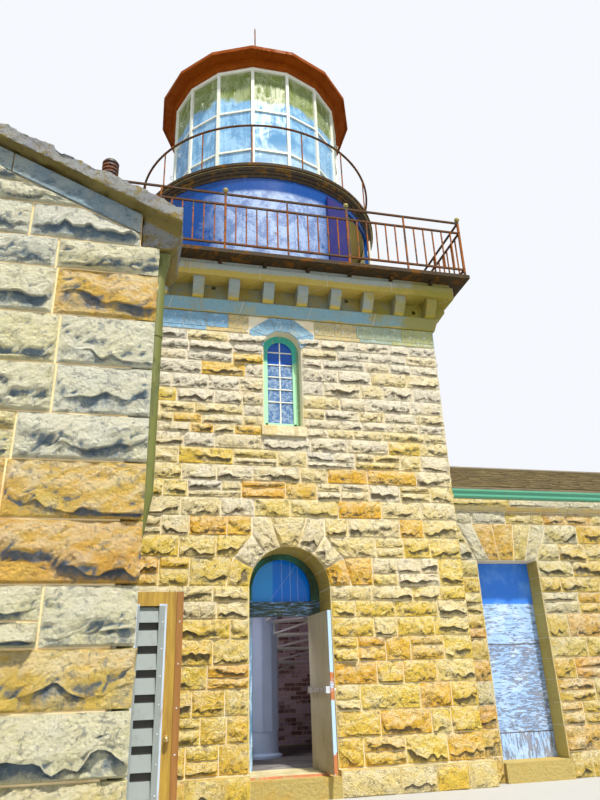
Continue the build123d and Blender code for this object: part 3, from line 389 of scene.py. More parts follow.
def flaking_finish(name, skin, under, low, high, direction):
    """Old paint that flakes along the grain and shows what is under it."""
    paint = Paint(name, Roughness=0.6)
    flakes = paint.drawn_noise(direction, 6, 0.72, 0.3)
    patch = paint.noise(1.7, 3, 0.5)
    bare = paint.step(flakes + (patch - 0.5) * 0.35, low, high)
    tint = paint.mix(paint.noise(3.0, 4, 0.6), skin, tuple(c * 0.82 for c in skin))
    paint.feed(Base_Color=paint.mix(bare, tint, under), Roughness=bare * 0.3 + 0.5)
    paint.bump((1 - bare) * 0.8 + flakes * 0.3, 0.004)
    return paint.material


def timber_finish(name, light, dark, direction):
    """Weathered varnished timber."""
    paint = Paint(name, Roughness=0.55)
    grain = paint.drawn_noise(direction, 6, 0.65, 0.8)
    base = paint.mix(paint.step(grain, 0.35, 0.68), light, dark)
    stain = paint.step(paint.noise(4, 5, 0.65), 0.55, 0.75)
    paint.feed(Base_Color=paint.mix(stain * 0.5, base, tuple(c * 0.45 for c in dark)))
    paint.bump(grain, 0.003)
    return paint.material


def cream_finish():
    """Cream paint of the lantern's frame, chalky, with rust at its joints."""
    paint = Paint("lantern_paint", Roughness=0.5)
    dirt = paint.step(paint.noise(9, 6, 0.7), 0.5, 0.72)
    base = paint.mix(dirt * 0.5, (0.80, 0.80, 0.68), (0.52, 0.50, 0.36))
    rust = paint.step(paint.noise(22, 5, 0.7), 0.66, 0.73)
    paint.feed(Base_Color=paint.mix(rust, base, (0.42, 0.20, 0.07)))
    paint.bump(paint.noise(40, 4, 0.6), 0.003)
    return paint.material


SKY_REFLECTION_TOP = 11.72
GLARE_PANES_TOP = 11.0


def glass_film_and_painted_view():
    """Lantern glass: see-through at the top, with an olive tint that is a painted view of the ceiling behind
    it; milky below a wavy edge, with a painted sky-blue reflection under the film and a paler painted glare
    on the lower front panes.
    """
    paint = Paint("lantern_glass", IOR=1.5)
    haze = paint.noise(2.4, 7, 0.72, paint.stretched(1, 1, 0.8), 1.2)
    drips = paint.drawn_noise((14, 14, 1.5), 6, 0.7)
    film = paint.step(haze + (drips - 0.5) * 0.5, 0.34, 0.66)
    reach = paint.noise(1.1, 4, 0.6) * 0.9 + SKY_REFLECTION_TOP
    low = paint.step(paint.axis("Z") - reach, 0.06, -0.10)
    # painted glare: paler on the lower panes that face the front
    front = paint.step(paint.axis("X") - paint.axis("Y"), 0.6, 2.3)
    front = front * paint.step(paint.axis("Z"), GLARE_PANES_TOP + 0.2, GLARE_PANES_TOP - 0.2)
    # painted reflection of the sky, under a milky film
    haze_and_sky_reflection = paint.mix(film, (0.15, 0.36, 0.62), (0.34, 0.58, 0.80))
    haze_and_sky_reflection = paint.mix(front * 0.6, haze_and_sky_reflection, (0.56, 0.72, 0.84))
    # olive tint: a painted view of the ceiling through the clear top
    clear = paint.mix(film, (0.24, 0.32, 0.05), (0.46, 0.52, 0.26))
    paint.feed(Base_Color=paint.mix(low, clear, haze_and_sky_reflection), Alpha=low * 0.36 + film * 0.12 + 0.46,
               Roughness=film * 0.3 + 0.06)
    return paint.material


UPRIGHT_STAYS = (0.02, 0.145, 0.255)
SLANTED_STAY = 2.60


def fanlight_finish():
    """Fanlight glass that mirrors a deep blue sky, paler on its left, with thin pale lines across it."""
    paint = Paint("fanlight_glass", IOR=1.5, Roughness=0.08, Alpha=0.97, Specular_IOR_Level=0.25)
    x, z = paint.axis("X"), paint.axis("Z")
    left = paint.step(x, -0.10, -0.13)
    base = paint.mix(left, (0.0, 0.20, 0.95), (0.04, 0.36, 0.98))
    first, second, third = [paint.near(x, place, 0.004) for place in UPRIGHT_STAYS]
    lines = first + second + third + paint.near(z - x * 1.25, SLANTED_STAY, 0.004)
    base = paint.mix(lines * 0.35, base, (0.70, 0.85, 1.0))
    paint.feed(Base_Color=base)
    return paint.material


GREEN_SHADE_EDGE = 5.98
DEEP_PANES = 5.95


def sash_finish():
    """Green window paint: deep round the arch, a painted shade from the reveal, pale and peeling lower down,
    where the pale green is its colour in sun, and brown on the right.
    """
    paint = Paint("window_green", Roughness=0.6)
    x, z = paint.axis("X"), paint.axis("Z")
    patch = paint.noise(5.0, 6, 0.7)
    # painted shade: above this height the green is its darker, shaded copy
    deep = paint.step(z + (patch - 0.5) * 0.3, GREEN_SHADE_EDGE - 0.06, GREEN_SHADE_EDGE + 0.06)
    base = paint.mix(deep, (0.36, 0.72, 0.44), (0.05, 0.46, 0.38))
    bare = paint.step(paint.drawn_noise((26, 26, 4), 6, 0.72), 0.54, 0.64)
    base = paint.mix(bare * 0.7, base, (0.52, 0.44, 0.22))
    side = paint.step(x, 0.205, 0.235) * paint.step(patch, 0.34, 0.50)
    paint.feed(Base_Color=paint.mix(side * 0.7, base, (0.20, 0.26, 0.10)))
    paint.bump(bare * 0.6 + patch * 0.4, 0.003)
    return paint.material


def pane_finish():
    """Upper window panes: deep blue in the top rows, a painted reflection of the sky where they lie in shade,
    and dusty grey-blue below, dust over a painted reflection.
    """
    paint = Paint("window_glass", IOR=1.5, Roughness=0.08, Alpha=0.85, Specular_IOR_Level=0.3)
    dust = paint.step(paint.noise(26, 5, 0.75), 0.44, 0.58)
    dusty = paint.mix(dust, (0.07, 0.17, 0.38), (0.32, 0.42, 0.58))
    # painted reflection: the shaded top rows mirror a deep blue sky
    deep = paint.step(paint.axis("Z"), DEEP_PANES - 0.01, DEEP_PANES + 0.01)
    paint.feed(Base_Color=paint.mix(deep, dusty, (0.005, 0.09, 0.48)))
    return paint.material


def shingle_finish():
    """Split shingles, each with its own tone, grey-brown and mossy."""
    paint = Paint("shingles", Roughness=0.9)
    tone = paint.kept("tone")
    grain = paint.drawn_noise((60, 60, 60), 5, 0.7)
    base = paint.ramp(tone, (0.0, (0.095, 0.065, 0.020)), (0.5, (0.125, 0.087, 0.026)),
                      (1.0, (0.17, 0.12, 0.038)))
    base = paint.mix(paint.step(grain, 0.4, 0.8) * 0.6, base, (0.07, 0.05, 0.03))
    base = paint.mix(paint.step(paint.noise(2.2, 5, 0.6), 0.56, 0.7) * 0.45, base, (0.26, 0.24, 0.07))
    paint.feed(Base_Color=base)
    paint.bump(grain, 0.006)
    return paint.material


def brick_finish():
    """Whitewashed brick, worn back to red-brown here and there."""
    paint = Paint("brick_lining", Roughness=0.9)
    tone = paint.kept("tone")
    worn = paint.step(paint.noise(4.5, 6, 0.7) + (tone - 0.5) * 0.4, 0.46, 0.66)
    base = paint.mix(worn, (0.62, 0.47, 0.54), (0.24, 0.13, 0.13))
    paint.feed(Base_Color=base)
    paint.bump(paint.noise(30, 5, 0.7) - worn * 0.3, 0.004)
    return paint.material


def floor_finish():
    """Dark worn paving in the rooms."""
    paint = Paint("room_floor", Roughness=0.8)
    wear = paint.noise(2.0, 5, 0.6)
    paint.feed(Base_Color=paint.mix(paint.step(wear, 0.4, 0.7), (0.10, 0.09, 0.09), (0.24, 0.22, 0.20)))
    paint.bump(paint.noise(20, 5, 0.7), 0.004)
    return paint.material


def metal_finish(name, skin, stain, gloss, amount):
    """Bare or thinly painted metal with a stain."""
    paint = Paint(name, Metallic=amount)
    marks = paint.step(paint.noise(14, 5, 0.7), 0.48, 0.66)
    paint.feed(Base_Color=paint.mix(marks, skin, stain), Roughness=marks * 0.3 + gloss)
    paint.bump(paint.noise(70, 4, 0.6), 0.001)
    return paint.material


# Mesh building

def link(thing):
    """Put an object in the scene."""
    bpy.context.scene.collection.objects.link(thing)
    return thing


def settle(piece, slot, body="building"):
    """Put a finished object in the scene on its body."""
    link(piece)
    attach(piece, body)
    return piece


def applied(thing):
    """A mesh with an object's modifiers applied. The object leaves the scene."""
    bpy.context.view_layer.update()
    scene_state = bpy.context.evaluated_depsgraph_get()
    mesh = bpy.data.meshes.new_from_object(thing.evaluated_get(scene_state),
                                           preserve_all_data_layers=True, depsgraph=scene_state)
    thing.modifiers.clear()
    bpy.data.objects.remove(thing)
    return mesh


BOX_FACES = [(0, 3, 2, 1), (4, 5, 6, 7), (0, 1, 5, 4), (1, 2, 6, 5), (2, 3, 7, 6), (3, 0, 4, 7)]


class Heap:
    """Shapes gathered for one mesh."""

    def __init__(self):
        self.points = []
        self.faces = []

    def add(self, points, faces):
        start = len(self.points)
        self.points += [tuple(point) for point in points]
        self.faces += [tuple(start + corner for corner in face) for face in faces]

    def box(self, x0, x1, y0, y1, z0, z1):
        corners = [(x, y, z) for z in (z0, z1) for x, y in ((x0, y0), (x1, y0), (x1, y1), (x0, y1))]
        self.add(corners, BOX_FACES)

    def tube(self, path, radius, sides):
        """A round bar along a path, with closed ends."""
        path = [Vector(point) for point in path]
        last = len(path) - 1
        rings = []
        side = None
        for number, point in enumerate(path):
            run = (path[min(number + 1, last)] - path[max(number - 1, 0)]).normalized()
            if side is None:
                side = run.cross(Vector((0.1, 0.2, 1))).normalized()
            side = (side - run * side.dot(run)).normalized()
            other = run.cross(side)
            rings += [point + (side * cos(2 * pi * k / sides) + other * sin(2 * pi * k / sides)) * radius
                      for k in range(sides)]
        faces = [(ring + k, ring + (k + 1) % sides, ring + sides + (k + 1) % sides, ring + sides + k)
                 for ring in range(0, last * sides, sides) for k in range(sides)]
        faces.append(tuple(reversed(range(sides))))
        faces.append(tuple(last * sides + k for k in range(sides)))
        self.add(rings, faces)

    def turned(self, outline, sides, start=0.0, end=360.0):
        """A closed outline of (radius, z) points, counter-clockwise, turned about the tower's axis."""
        whole = end - start == 360.0
        steps = sides if whole else sides + 1
        size = len(outline)
        rings = []
        for step in range(steps):
            angle = radians(start + (end - start) * step / sides)
            rings += [(r * cos(angle), r * sin(angle), z) for r, z in outline]
        faces = []
        for step in range(sides):
            here = step * size
            there = (step + 1) % steps * size
            for k in range(size):
                after = (k + 1) % size
                faces.append((here + k, there + k, there + after, here + after))
        if not whole:
            faces.append(tuple(reversed(range(size))))
            faces.append(tuple((steps - 1) * size + k for k in range(size)))
        self.add(rings, faces)

    def arch(self, x, springing, bottom, inner, outer, y0, y1, steps=20):
        """A flat ring that follows a round-headed opening, with a leg down each side."""
        angles = [pi * k / steps for k in range(steps + 1)]
        line = [(1.0, 0.0, bottom)] + [(cos(a), sin(a), springing) for a in angles] + [(-1.0, 0.0, bottom)]
        rings = [(x + radius * c, y, base + radius * s) for c, s, base in line
                 for radius, y in ((inner, y0), (outer, y0), (outer, y1), (inner, y1))]
        faces = [(0, 1, 2, 3)]
        for step in range(len(line) - 1):
            here = step * 4
            for k in range(4):
                after = (k + 1) % 4
                faces.append((here + k, here + 4 + k, here + 4 + after, here + after))
        last = (len(line) - 1) * 4
        faces.append((last + 3, last + 2, last + 1, last))
        self.add(rings, faces)

    def piece(self, name, finish, slot, body="building", smooth=False, bevel=0.0):
        mesh = bpy.data.meshes.new(name)
        mesh.from_pydata(self.points, [], self.faces)
        outward(mesh, bevel)
        mesh.materials.append(finish)
        mesh.shade_smooth() if smooth else mesh.shade_flat()
        return settle(bpy.data.objects.new(name, mesh), slot, body)


def outward(mesh, bevel=0.0):
    """Turn all faces outwards and, where asked, round the edges a little."""
    shape = bmesh.new()
    shape.from_mesh(mesh)
    bmesh.ops.recalc_face_normals(shape, faces=shape.faces)
    if bevel:
        bmesh.ops.bevel(shape, geom=shape.edges[:], offset=bevel, segments=1, affect="EDGES",
                        clamp_overlap=True)
    shape.to_mesh(mesh)
    shape.free()


# Masonry

lumps = chance.random((256, 256))


def rough(x, y, size, seed):
    """Smooth noise from -1 to 1 with lumps of about this size."""
    u = x / size + seed * 17.31
    v = y / size + seed * 5.77
    i = np.floor(u).astype(int)
    j = np.floor(v).astype(int)
    u = u - i
    v = v - j
    u = u * u * (3 - 2 * u)
    v = v * v * (3 - 2 * v)
    low = lumps[i % 256, j % 256] * (1 - u) + lumps[(i + 1) % 256, j % 256] * u
    high = lumps[i % 256, (j + 1) % 256] * (1 - u) + lumps[(i + 1) % 256, (j + 1) % 256] * u
    return 2 * (low * (1 - v) + high * v) - 1


def smooth_step(value, low, high):
    """0 below low, 1 above high, and smooth between them."""
    share = np.clip((value - low) / (high - low), 0, 1)
    return share * share * (3 - 2 * share)


def ledge_line(a, wide, tall, share, seed):
    """Height of the jagged ledge that parts a stone's bright face from the recess under it."""
    tilt = chance.uniform(-0.30, 0.30) * (a / wide - 0.5)
    jag = 0.17 * rough(a, 0 * a, 0.15, seed) + 0.11 * rough(a, 0 * a, 0.05, seed + 1)
    return np.clip((share + tilt + jag) * tall, 0.026, 0.8 * tall)


def rock_relief(a, b, wide, tall, line, plain, seed):
    """How far each point of a rock-faced stone stands out, as a share of the most."""
    rise = np.clip((b - line) / (tall - line), 0, 1)
    face = (1 - rise) ** 0.7
    if plain:
        face = 0.60 * np.sin(pi * np.clip(b / tall, 0.04, 0.96)) ** 0.6
    for _ in range(3):
        slope_a, slope_b = chance.uniform(-1.5, 1.5, 2)
        facet = chance.uniform(0.68, 1.15) + slope_a * (a / wide - 0.5) + slope_b * (b / tall - 0.5)
        face = np.minimum(face, np.maximum(facet, 0.25))
    steps = 0.5 * np.round(2 * rough(a, b, 0.075, seed + 4))
    face = face + 0.13 * rough(a, b, 0.13, seed + 1) + 0.15 * steps * (1 - 0.5 * rise)
    under = 0.22 + 0.20 * rough(a, b, 0.09, seed + 3)
    chips = rough(a, b, 0.052, seed + 2) * (0.20 - 0.08 * rise) + chance.uniform(-0.07, 0.07, a.shape)
    return np.maximum(np.where(b < line, under, face) + chips, 0.02)


class Wall:
    """A plane that stones are laid on: a point, the way along it and the way out of it."""

    def __init__(self, origin, out):
        self.origin = np.array(origin, float)
        self.out = np.array(out, float)
        self.along = np.cross((0, 0, 1), self.out)

    def place(self, s, z, height):
        return (self.origin + s[:, None] * self.along + height[:, None] * self.out
                + z[:, None] * np.array((0, 0, 1.0)))


PLAIN_ENDS = (None, None)
STONE_BORDER = 0.004
QUOIN_DEEP = 0.045


class Masonry:
    """Stones gathered for one mesh, with each stone's tone, the painted shade in its hollows and on its
    slopes that face down, and the painted highlight on its slopes that face up. cell is the grid's spacing
    and bulge how far the least and the most proud stones stand out."""

    def __init__(self, cell=0.045, bulge=(0.03, 0.06), joint=0.010):
        self.cell = cell
        self.bulge = bulge
        self.joint = joint
        self.points = []
        self.faces = []
        self.tone = []
        self.hollow = []
        self.lit = []
        self.count = 0

    def stone(self, wall, low, high, tone, flat=None, over=PLAIN_ENDS):
        """One stone between a lower and an upper edge, each a function from 0..1 to (s, z) points.
        over says how far each end that forms a corner of the wall reaches past that corner."""
        ends = np.array([low(np.array([0.0, 1.0])), high(np.array([0.0, 1.0]))])
        wide = (np.linalg.norm(ends[0, 1] - ends[0, 0]) + np.linalg.norm(ends[1, 1] - ends[1, 0])) / 2
        tall = np.linalg.norm(ends[1].mean(0) - ends[0].mean(0))
        if wide < 0.05 or tall < 0.045:
            return
        seed = self.count * 0.618 % 97
        self.count += 1
        if flat is None:
            a, b, rise, hollow, lit = self.rock_grid(wide, tall, seed)
        else:
            a, b, rise, hollow, lit = flat_grid(wide, tall)
        start, end = [self.joint / 2 if reach is None else -reach for reach in over]
        u = (start + a / wide * (wide - start - end)) / wide
        v = (self.joint / 2 + b / tall * (tall - self.joint)) / tall
        shape = u.shape
        spot = low(u.ravel()) * (1 - v.ravel()[:, None]) + high(u.ravel()) * v.ravel()[:, None]
        if flat is None:
            size = chance.uniform(*self.bulge)
            height = STONE_BORDER + size * rise + 0.002 * rough(a, b, 0.06, seed + 5)
            for column, reach, side in ((0, over[0], 1), (-1, over[1], -1)):
                if reach:
                    wave = 0.16 * rough(b[:, 0], b[:, 0], 0.08, seed + 7)
                    worn = reach * (chance.uniform(0.12, 0.32) - wave)
                    spot.reshape(*shape, 2)[:, column, 0] += side * worn
                    height[:, column] += 0.35 * size * rise[:, column - 1 if side < 0 else 1]
        else:
            height = flat + 0.0012 * rough(a, b, 0.3, seed)
        self.close(wall, spot, height, hollow, lit, tone, QUOIN_DEEP if any(over) else STONE_BORDER)

    def rock_grid(self, wide, tall, seed):
        """Grid points of a rock face, in rows that follow its ledge, with their relief, painted shade and
        painted highlight.
        """
        plain = chance.random() < 0.36
        share = 0.10 if plain else chance.uniform(0.10, 0.40)
        rim = min(0.013, 0.12 * wide, 0.12 * tall)
        across = max(2, round(wide / self.cell))
        a = np.concatenate([[0], np.linspace(rim, wide - rim, across + 1), [wide]])
        a[2:-2] += chance.uniform(-0.25, 0.25, a.size - 4) * wide / across
        line = ledge_line(a, wide, tall, share, seed)
        crisp = 0.002
        under = max(1, round((share * tall - rim) / self.cell))
        above = max(2, round((1 - share) * tall / self.cell))
        low = np.linspace(0, 1, under + 1)[:, None]
        high = np.linspace(0, 1, above + 1)[:, None]
        b_low = rim + low * (line - crisp - rim)
        b_high = line + crisp + high * (tall - rim - line - crisp)
        b_low[1:-1] += chance.uniform(-0.2, 0.2, b_low[1:-1].shape) * self.cell
        b_high[1:-1] += chance.uniform(-0.2, 0.2, b_high[1:-1].shape) * self.cell
        b = np.vstack([0 * line, b_low, b_high, 0 * line + tall])
        a = np.tile(a, (b.shape[0], 1))
        shift = chance.uniform(-0.22, 0.22, a.shape) * wide / across
        shift[[0, 1, under + 1, under + 2, -2, -1]] = 0
        shift[:, [0, 1, -2, -1]] = 0
        a = a + shift
        side = smooth_step(np.minimum(a, wide - a) + 0.010 * rough(a, b, 0.05, seed + 3), 0.0, 0.030)
        rise = rock_relief(a, b, wide, tall, line, plain, seed) * side
        drop = rise[under + 2] - rise[under + 1]
        # painted shade under each ledge, strongest right below it and where the ledge stands out most
        depth = np.clip(b / line, 0, 1) * (b < line) * np.clip(drop * 1.6, 0, 1)
        hollow = (0.35 + 0.65 * depth) * (depth > 0) * side
        for edge in (np.s_[0], np.s_[-1], np.s_[:, 0], np.s_[:, -1]):
            rise[edge] = 0
            hollow[edge] = 0
        lean = np.zeros_like(rise)
        lean[:-1] = np.diff(rise, axis=0) * np.mean(self.bulge) / np.maximum(np.diff(b, axis=0), 0.003)
        face = b > line
        # painted shade also on facets that face down, and a painted highlight on facets that face up
        hollow = np.maximum(hollow, 0.85 * smooth_step(lean, 0.08, 0.50) * face)
        lit = smooth_step(-lean, 0.02, 0.40) * face
        return a, b, rise, hollow, lit

    def close(self, wall, spot, height, hollow, lit, tone, deep):
        """Add a grid of front points to the mesh, with sides and a back that close the stone."""
        rows, row = height.shape
        front = wall.place(spot[:, 0], spot[:, 1], height.ravel())
        corners = [0, row - 1, rows * row - 1, (rows - 1) * row]
        back = wall.place(spot[corners, 0], spot[corners, 1], np.full(4, -deep))
        start = len(self.points)
        self.points += front.tolist() + back.tolist()
        first = (start + np.arange(rows - 1)[:, None] * row + np.arange(row - 1)[None, :]).ravel()
        self.faces += np.stack([first, first + 1, first + row + 1, first + row], 1).tolist()
        behind = [start + rows * row + k for k in range(4)]
        bottom = [start + i for i in range(row)]
        right = [start + j * row + row - 1 for j in range(rows)]
        top = [start + (rows - 1) * row + i for i in range(row)][::-1]
        left = [start + j * row for j in range(rows)][::-1]
        for side, near, far in ((bottom, 0, 1), (right, 1, 2), (top, 2, 3), (left, 3, 0)):
            self.faces.append((*side[::-1], behind[near], behind[far]))
        self.faces.append(tuple(behind[::-1]))
        self.tone += [tone] * (rows * row + 4)
        self.hollow += hollow.ravel().tolist() + [0.0] * 4
        self.lit += lit.ravel().tolist() + [0.0] * 4

    def block(self, wall, s0, s1, z0, z1, tone, flat=None, over=PLAIN_ENDS, top=None):
        """A stone with level beds. top gives its upper corners where its ends lean."""
        t0, t1 = top or (s0, s1)
        self.stone(wall, edge_line((s0, z0), (s1, z0)), edge_line((t0, z1), (t1, z1)), tone, flat, over)

    def piece(self, name, finish, slot):
        mesh = bpy.data.meshes.new(name)
        mesh.from_pydata(self.points, [], self.faces)
        for label, values in (("tone", self.tone), ("hollow", self.hollow), ("lit", self.lit)):
            mesh.attributes.new(label, "FLOAT", "POINT").data.foreach_set("value", values)
        mesh.materials.append(finish)
        mesh.shade_flat()
        mesh.update()
        return settle(bpy.data.objects.new(name, mesh), slot)


def flat_grid(wide, tall):
    """Grid points of a smooth dressed face."""
    across = max(1, round(wide / 0.3))
    a, b = np.meshgrid(np.linspace(0, wide, across + 1), np.linspace(0, tall, 2))
    return a, b, 0 * a, 0 * a, 0 * a


def edge_line(first, last):
    """A straight edge as a function from 0..1 to (s, z) points."""
    first, last = np.array(first, float), np.array(last, float)
    return lambda u: first + np.asarray(u)[:, None] * (last - first)


def edge_path(*corners):
    """An edge with corners as a function from 0..1 to (s, z) points."""
    corners = np.array(corners, float)
    reach = np.concatenate([[0], np.cumsum(np.linalg.norm(np.diff(corners, axis=0), axis=1))])
    share = reach / reach[-1]
    return lambda u: np.stack([np.interp(u, share, corners[:, k]) for k in (0, 1)], 1)


def edge_arc(centre, radius, start, end):
    """A round edge between two angles in degrees."""
    def at(u):
        angle = np.radians(start + np.asarray(u) * (end - start))
        return np.stack([centre[0] + radius * np.cos(angle), centre[1] + radius * np.sin(angle)], 1)
    return at


def free_spans(reach, gaps, z):
    """The parts of a level that no opening takes."""
    spans = [reach(z)]
    for gap in gaps:
        cut = gap(z)
        if cut is None:
            continue
        spans = [part for a, b in spans for part in ((a, min(b, cut[0])), (max(a, cut[1]), b))
                 if part[1] - part[0] > 0.03]
    return spans


def gap_box(s0, s1, z0, z1):
    """A square-headed opening."""
    return lambda z: (s0, s1) if z0 < z < z1 else None


def gap_arch(middle, half, springing, bottom):
    """A round-headed opening."""
    def at(z):
        if not bottom < z < springing + half:
            return None
        wide = half if z < springing else sqrt(half * half - (z - springing) ** 2)
        return (middle - wide, middle + wide)
    return at


def stone_tone(z, shift, ochre, spots, s):
    """A stone's tone from grey (0) over buff to orange (1), warmer towards the ground."""
    for spot_s, spot_z in spots:
        if s[0] < spot_s < s[1] and z[0] < spot_z < z[1]:
            return chance.uniform(0.86, 1.0)
    if chance.random() < ochre:
        return chance.uniform(0.70, 0.92)
    return float(np.clip(chance.normal(0.77 + shift - 0.098 * z[0], 0.10), 0.0, 0.80))


SPLIT_TALL = 0.24


def lay_wall(masonry, wall, levels, reach, gaps=(), spots=(), shift=0.0, ochre=0.07, long=0.62,
             over=PLAIN_ENDS, split=0.3):
    """Courses of stones of random length, now and then two thin ones in the height of one."""
    for number, (z0, z1) in enumerate(pairwise(levels)):
        below = free_spans(reach, gaps, z0 + 0.002)
        above = free_spans(reach, gaps, z1 - 0.002)
        middle = free_spans(reach, gaps, (z0 + z1) / 2)
        if not len(below) == len(above) == len(middle):
            below = above = middle
        for (a0, b0), (a1, b1), (a, b) in zip(below, above, middle):
            joints = stone_joints(a, b, z1 - z0, long, number)
            for k, (s0, s1) in enumerate(pairwise(joints)):
                first, last = k == 0, k == len(joints) - 2
                base = (a0 if first else s0, b0 if last else s1)
                head = (a1 if first else s0, b1 if last else s1)
                corner = (over[0] if first and a == reach((z0 + z1) / 2)[0] else None,
                          over[1] if last and b == reach((z0 + z1) / 2)[1] else None)
                tone = stone_tone((z0, z1), shift, ochre, spots, (s0, s1))
                if chance.random() < split and z1 - z0 > SPLIT_TALL and corner == PLAIN_ENDS:
                    lay_pair(masonry, wall, base, head, z0, z1, tone)
                else:
                    masonry.block(wall, *base, z0, z1, tone, None, corner, head)


def lay_pair(masonry, wall, base, head, z0, z1, tone):
    """Two thin stones on top of each other, the upper one sometimes in two lengths."""
    share = chance.uniform(0.38, 0.62)
    middle = z0 + (z1 - z0) * share
    belt = tuple(low + (high - low) * share for low, high in zip(base, head))
    masonry.block(wall, *base, z0, middle, tone, None, PLAIN_ENDS, belt)
    other = float(np.clip(tone + chance.normal(0, 0.12), 0, 1))
    if belt[1] - belt[0] > 0.6 and chance.random() < 0.6:
        cut = belt[0] + (belt[1] - belt[0]) * chance.uniform(0.35, 0.65)
        masonry.block(wall, belt[0], cut, middle, z1, other, None, PLAIN_ENDS, (head[0], cut))
        masonry.block(wall, cut, belt[1], middle, z1, tone, None, PLAIN_ENDS, (cut, head[1]))
    else:
        masonry.block(wall, *belt, middle, z1, other, None, PLAIN_ENDS, head)


def stone_joints(a, b, tall, long, number):
    """Upright joints of one course, with long and short corner stones by turns."""
    joints = [a]
    lead = long * (0.95 if number % 2 else 0.55)
    while b - joints[-1] > long * 1.45:
        step = lead if len(joints) == 1 else chance.uniform(0.55, 1.35) * long * (0.7 + tall)
        joints.append(joints[-1] + step)
    if b - joints[-1] > long * 0.95:
        joints.append(joints[-1] + (b - joints[-1]) * chance.uniform(0.4, 0.6))
    return joints + [b]


def lay_course(stones, wall, start, end, bottom, top, long, tones):
    """One course of rock-faced stones whose tones lie between two numbers."""
    joints = stone_joints(start, end, 0.3, long, 1)
    for s0, s1 in pairwise(joints):
        stones.block(wall, s0, s1, bottom, top, chance.uniform(*tones))


# Tower masonry

FRONT = Wall((0, -TOWER_HALF, 0), (0, -1, 0))
BACK = Wall((0, TOWER_HALF, 0), (0, 1, 0))
RIGHT = Wall((TOWER_HALF, 0, 0), (1, 0, 0))
LEFT = Wall((-TOWER_HALF, 0, 0), (-1, 0, 0))

TOWER_LEVELS = (0.31, 0.645, 0.95, 1.26, 1.54, 1.85, 2.10, 2.32, 2.52, 2.90, 3.19, 3.46, 3.72, 3.97, 4.20,
                4.45, 4.67, 4.82, 4.97, 5.14, 5.36, 5.60, 5.83, 6.00, 6.17, 6.35)
ROOF_CORNER = 4.20
ARCH_REACH = 0.875
CROWN_HALF = 0.525
CROWN_LOW = 3.19
CROWN_TOP = 3.46
VOUSSOIR_ANGLES = (2, 27, 53, 77, 103, 127, 153, 178)
VOUSSOIR_TONES = (0.95, 0.45, 0.40, 0.52, 0.42, 0.36, 0.74)
OCHRE_STONES = ((-1.3, 3.4), (-0.75, 3.35), (-0.25, 3.85), (0.3, 3.85), (0.9, 4.05), (1.9, 4.08), (1.3, 3.5),
                (1.0, 2.6), (0.75, 1.4), (1.9, 1.1), (1.55, 0.8), (-0.8, 1.45), (-0.9, 0.2), (2.2, 0.45),
                (1.6, 1.65), (1.9, 3.25))


def door_gap(z):
    """The doorway, and over it the space that the arch's stones take."""
    if z < DOOR_SPRINGING + 0.03:
        return (-DOOR_HALF, DOOR_HALF)
    if z > CROWN_TOP:
        return None
    half = CROWN_HALF if z > CROWN_LOW else sqrt(ARCH_REACH ** 2 - (z - DOOR_SPRINGING) ** 2)
    return (-half, half)


def tower_front():
    """The tower's front round the doorway, its arch and the window, beside and above the left wing."""
    stones = Masonry(cell=0.024, bulge=(0.034, 0.066))
    gaps = (door_gap, gap_box(WINDOW_X - SILL_HALF, WINDOW_X + SILL_HALF, SILL_BOTTOM, SILL_TOP),
            gap_arch(WINDOW_X, WINDOW_HALF, WINDOW_SPRINGING, SILL_TOP))
    beside_wing = [z for z in TOWER_LEVELS if z <= ROOF_CORNER]
    above_wing = [z for z in TOWER_LEVELS if z >= ROOF_CORNER]
    lay_wall(stones, FRONT, beside_wing, lambda z: (LEFT_INNER, TOWER_HALF), gaps, OCHRE_STONES, 0.10,
             over=(None, 0.02))
    lay_wall(stones, FRONT, above_wing, lambda z: (-TOWER_HALF, TOWER_HALF), gaps, OCHRE_STONES, 0.10,
             over=(0.02, 0.02))
    for start, end, tone in zip(VOUSSOIR_ANGLES, VOUSSOIR_ANGLES[1:], VOUSSOIR_TONES):
        stones.stone(FRONT, edge_arc((0, DOOR_SPRINGING), DOOR_HALF, end, start), arch_head(start, end), tone)
    return stones


def arch_head(start, end):
    """Outer edge, from left to right, of a stone in the door's arch. It is round at the sides, and level
    with a corner at the crown."""
    if end <= 53 or start >= 127:
        return edge_arc((0, DOOR_SPRINGING), ARCH_REACH - 0.012, end, start)
    side = CROWN_HALF - 0.01
    corners = {53: (side, CROWN_LOW), 77: (0.27, CROWN_TOP), 103: (-0.27, CROWN_TOP), 127: (-side, CROWN_LOW)}
    between = {53: [(side, CROWN_TOP)], 77: [], 103: [(-side, CROWN_TOP)]}[start]
    return edge_path(corners[end], *between, corners[start])


REVEAL_BACK = 1.955
REVEAL_THICK = 0.006


def line_jamb(stones, x, out, front, back, levels):
    """Smooth stones down one jamb of a doorway. out is 1 on a jamb that faces +X and -1 on the other."""
    wall = Wall((x, 0, 0), (out, 0, 0))
    near, far = sorted((-out * front, -out * back))
    for z0, z1 in pairwise(levels):
        stones.block(wall, near, far, z0, z1, chance.uniform(0.3, 0.7), REVEAL_THICK)


def door_reveal():
    """Smooth stones that line the jambs of the tower's doorway."""
    stones = Masonry(joint=0.008)
    levels = (PLINTH_TOP, 0.64, 0.95, 1.26, 1.54, 1.85, 2.10, 2.32, DOOR_SPRINGING)
    for out in (1, -1):
        line_jamb(stones, -out * DOOR_HALF, out, TOWER_HALF, REVEAL_BACK, levels)
    return stones


